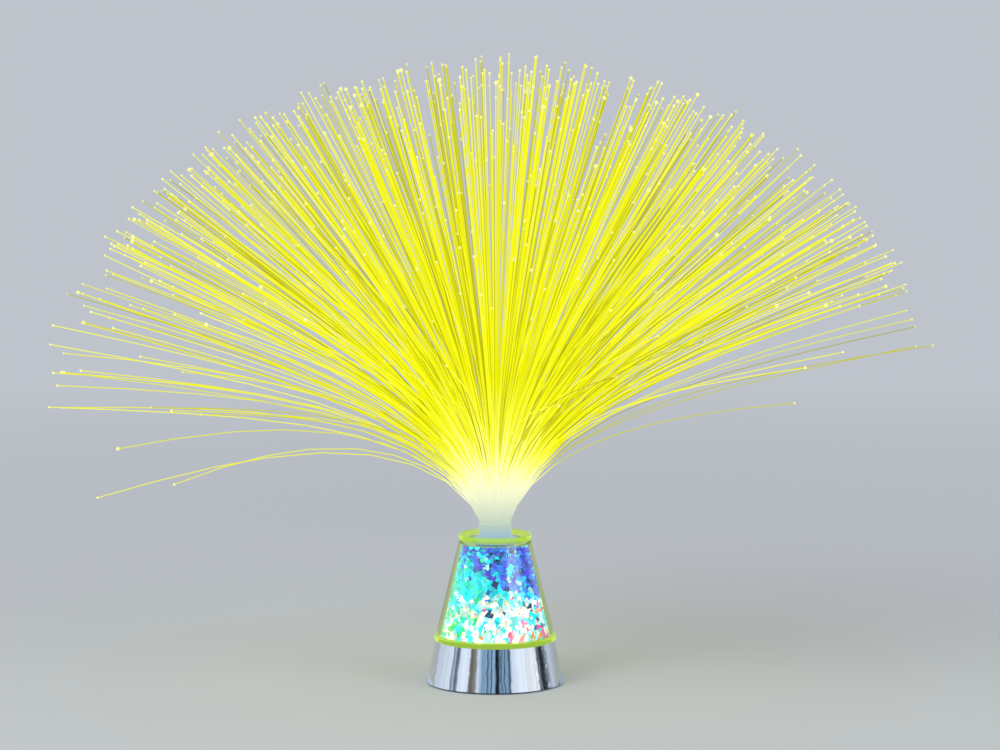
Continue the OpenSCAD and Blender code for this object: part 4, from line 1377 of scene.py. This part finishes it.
@dataclass
class Studio:
    """A plain pale floor, soft light and the camera at the photograph's angle, in metres."""

    backdrop: str = "#BFC4CC"
    floor_size: float = 40.0
    near: float = 0.5
    far: float = 1.6
    open_height: float = 0.06
    world_level: float = 0.7
    panel_level: float = 1.15
    distance: float = 2.0
    elevation: float = 6.0
    lens: float = 127.0
    sensor: float = 36.0
    aim: tuple[float, float, float] = (0.0028, 0.0, 0.1766)

    def floor(self) -> None:
        """Lays the floor: matt near the lamp, and fading into the backdrop's colour.

        It is clear from below, and lets light up onto what lies just above it, so that the
        lamp's underside shows in a view from below.
        """
        half = self.floor_size / 2
        corners = [(-half, -half, 0), (half, -half, 0), (half, half, 0), (-half, half, 0)]
        points = np.array(corners) / MM
        piece = make_piece("floor", points, [(0, 1, 2, 3)])
        made = empty_material("floor")
        tree = made.node_tree
        colour = srgb(self.backdrop)
        away = reached(tree, Measure.OUT, self.near / MM, self.far / MM)
        matt = add_node(tree, "BsdfDiffuse", {"Color": colour})
        plain = add_node(tree, "Emission", {"Color": colour})
        seen = add_node(tree, "MixShader", [away, matt, plain])
        behind = add_node(tree, "NewGeometry").outputs["Backfacing"]
        path = add_node(tree, "LightPath").outputs
        near = add_node(tree, "Math", [path["Ray Length"], self.open_height], operation="LESS_THAN")
        bounced = add_node(tree, "Math", [
            path["Is Diffuse Ray"], path["Is Glossy Ray"]], operation="MAXIMUM")
        under = add_node(tree, "Math", [near, bounced, behind], operation="MULTIPLY_ADD")
        sided = add_node(tree, "MixShader", [under, seen, add_node(tree, "BsdfTransparent")])
        add_node(tree, "OutputMaterial", {"Surface": sided})
        piece.data.materials.append(made)

    def panels(self, tree: NodeTree) -> NodeSocket:
        """The light and dark upright panels round the stage that only reflections see.

        The ramp runs round the stage from the back by the left, the front at 0.5 and the
        right. Noise shifts the panels' edges with height and adds the narrow streaks.

        Args:
            tree: The world's node tree.

        Returns:
            The panels' colour.
        """
        toward = add_node(tree, "TexCoord").outputs["Generated"]
        part = add_node(tree, "SeparateXYZ", [toward]).outputs
        ahead = add_node(tree, "Math", [part[1], -1.0], operation="MULTIPLY")
        bearing = add_node(tree, "Math", [part[0], ahead], operation="ARCTAN2")
        turn = add_node(tree, "MapRange", [bearing, -np.pi, np.pi, 0.0, 1.0])
        torn = add_node(tree, "VectorMath", [toward, (1.0, 1.0, 24.0)], operation="MULTIPLY")
        ragged = add_node(tree, "TexNoise", {
            "Vector": torn, "Scale": 9.0, "Detail": 4.0, "Roughness": 0.6})
        shift = add_node(tree, "MapRange", [ragged.outputs["Fac"], 0.3, 0.7, -1.0, 1.0])
        reach = add_node(tree, "MapRange", [turn, 0.6, 0.7, 0.005, 0.035])
        place = add_node(tree, "Math", [shift, reach, turn], operation="MULTIPLY_ADD")
        colours = add_node(tree, "ValToRGB", [place], stops=[
            (0.0, "#9AA8B6"), (0.24, "#D6E0EC"), (0.262, "#E2EAF4"), (0.27, "#4A6074"),
            (0.28, "#B4C4D2"), (0.294, "#3E5468"), (0.308, "#94A6B6"), (0.316, "#E4ECF6"),
            (0.366, "#DCE6F2"), (0.374, "#5E5A52"), (0.404, "#8C8A84"), (0.412, "#CEDCE8"),
            (0.44, "#7896B0"), (0.497, "#84A2BC"), (0.504, "#0A1420"), (0.514, "#101C2A"),
            (0.522, "#7C9AB4"), (0.566, "#6E8CA6"), (0.574, "#1A2A3C"), (0.584, "#D6E2F0"),
            (0.715, "#FAFCFF"), (0.735, "#2A3644"), (0.785, "#0E1622"), (0.8, "#C8D2DE"),
            (0.86, "#AEBAC8"), (0.876, "#1A2430"), (0.893, "#9AA8B6")])
        flat = add_node(tree, "VectorMath", [toward, (1.0, 1.0, 0.15)], operation="MULTIPLY")
        streaks = add_node(tree, "TexNoise", {
            "Vector": flat, "Scale": 20.0, "Detail": 3.0, "Roughness": 0.6}).outputs["Fac"]
        mild = add_node(tree, "MapRange", [streaks, 0.36, 0.58, 0.85, 1.12])
        strong = add_node(tree, "MapRange", [streaks, 0.42, 0.54, 0.3, 1.3])
        front = add_node(tree, "MapRange", [turn, 0.42, 0.45, 0.0, 1.0])
        beyond = add_node(tree, "MapRange", [turn, 0.56, 0.58, 1.0, 0.0])
        middle = add_node(tree, "Math", [front, beyond], operation="MULTIPLY")
        level = add_node(tree, "Mix", {
            MIX_SHARE: middle, MIX_NUMBER_A: mild, MIX_NUMBER_B: strong})
        lit = add_node(tree, "VectorMath", {0: colours, "Scale": level}, operation="SCALE")
        return lit.outputs[0]

    def world(self) -> None:
        """Sets the world: even light, the backdrop for the camera, panels for reflections."""
        world = bpy.data.worlds.new("studio")
        bpy.context.scene.world = world
        world.use_nodes = True
        tree = world.node_tree
        tree.nodes.clear()
        path = add_node(tree, "LightPath").outputs
        even = add_node(tree, "Background", {
            "Color": srgb("#FFFFFF"), "Strength": self.world_level})
        seen = add_node(tree, "Background", {"Color": srgb(self.backdrop)})
        reflected = add_node(tree, "Background", {
            "Color": self.panels(tree), "Strength": self.panel_level})
        direct = add_node(tree, "Math", [
            path["Is Camera Ray"], path["Is Transmission Ray"]], operation="MAXIMUM")
        plain = add_node(tree, "MixShader", [direct, even, seen])
        whole = add_node(tree, "MixShader", [path["Is Glossy Ray"], plain, reflected])
        add_node(tree, "OutputWorld", {"Surface": whole})

    def softbox(
        self, name: str, place: tuple[float, float, float], side: float, power: float) -> None:
        """Hangs a square softbox that faces the lamp.

        Args:
            name: Its name.
            place: Where its middle is.
            side: Length of its sides.
            power: Its power in watts.
        """
        lamp = bpy.data.lights.new(name, "AREA")
        lamp.size = side
        lamp.energy = power
        holder = bpy.data.objects.new(name, lamp)
        holder.location = place
        ahead = Vector(self.aim) - Vector(place)
        holder.rotation_euler = ahead.to_track_quat("-Z", "Y").to_euler()
        bpy.context.scene.collection.objects.link(holder)

    def camera(self) -> None:
        """Stands the camera in front of the lamp, a little above it, with a long lens."""
        lens = bpy.data.cameras.new("camera")
        lens.lens = self.lens
        lens.sensor_width = self.sensor
        lens.clip_end = 100.0
        holder = bpy.data.objects.new("camera", lens)
        rise = np.radians(self.elevation)
        back = Vector((0.0, -np.cos(rise), np.sin(rise)))
        holder.location = Vector(self.aim) + back * self.distance
        holder.rotation_euler = (-back).to_track_quat("-Z", "Y").to_euler()
        bpy.context.scene.collection.objects.link(holder)
        bpy.context.scene.camera = holder

    def build(self) -> None:
        """Builds the stage and sets the colour management."""
        bpy.context.scene.view_settings.view_transform = "Standard"
        self.camera()
        self.floor()
        self.world()
        self.softbox("key_light", (-1.3, -1.5, 1.9), side=1.2, power=24.0)
        self.softbox("fill_light", (1.6, -1.2, 1.2), side=1.4, power=9.0)


def main() -> None:
    """Builds the studio and each sub-assembly in order."""
    logging.basicConfig(level=logging.INFO, format="%(name)s: %(message)s")
    Studio().build()
    BaseHousing().dress()
    cone = CrystalCone()
    cone.build()
    ChipFill(cone).build()
    FibreSpray().build()


if __name__ == "__main__":
    main()
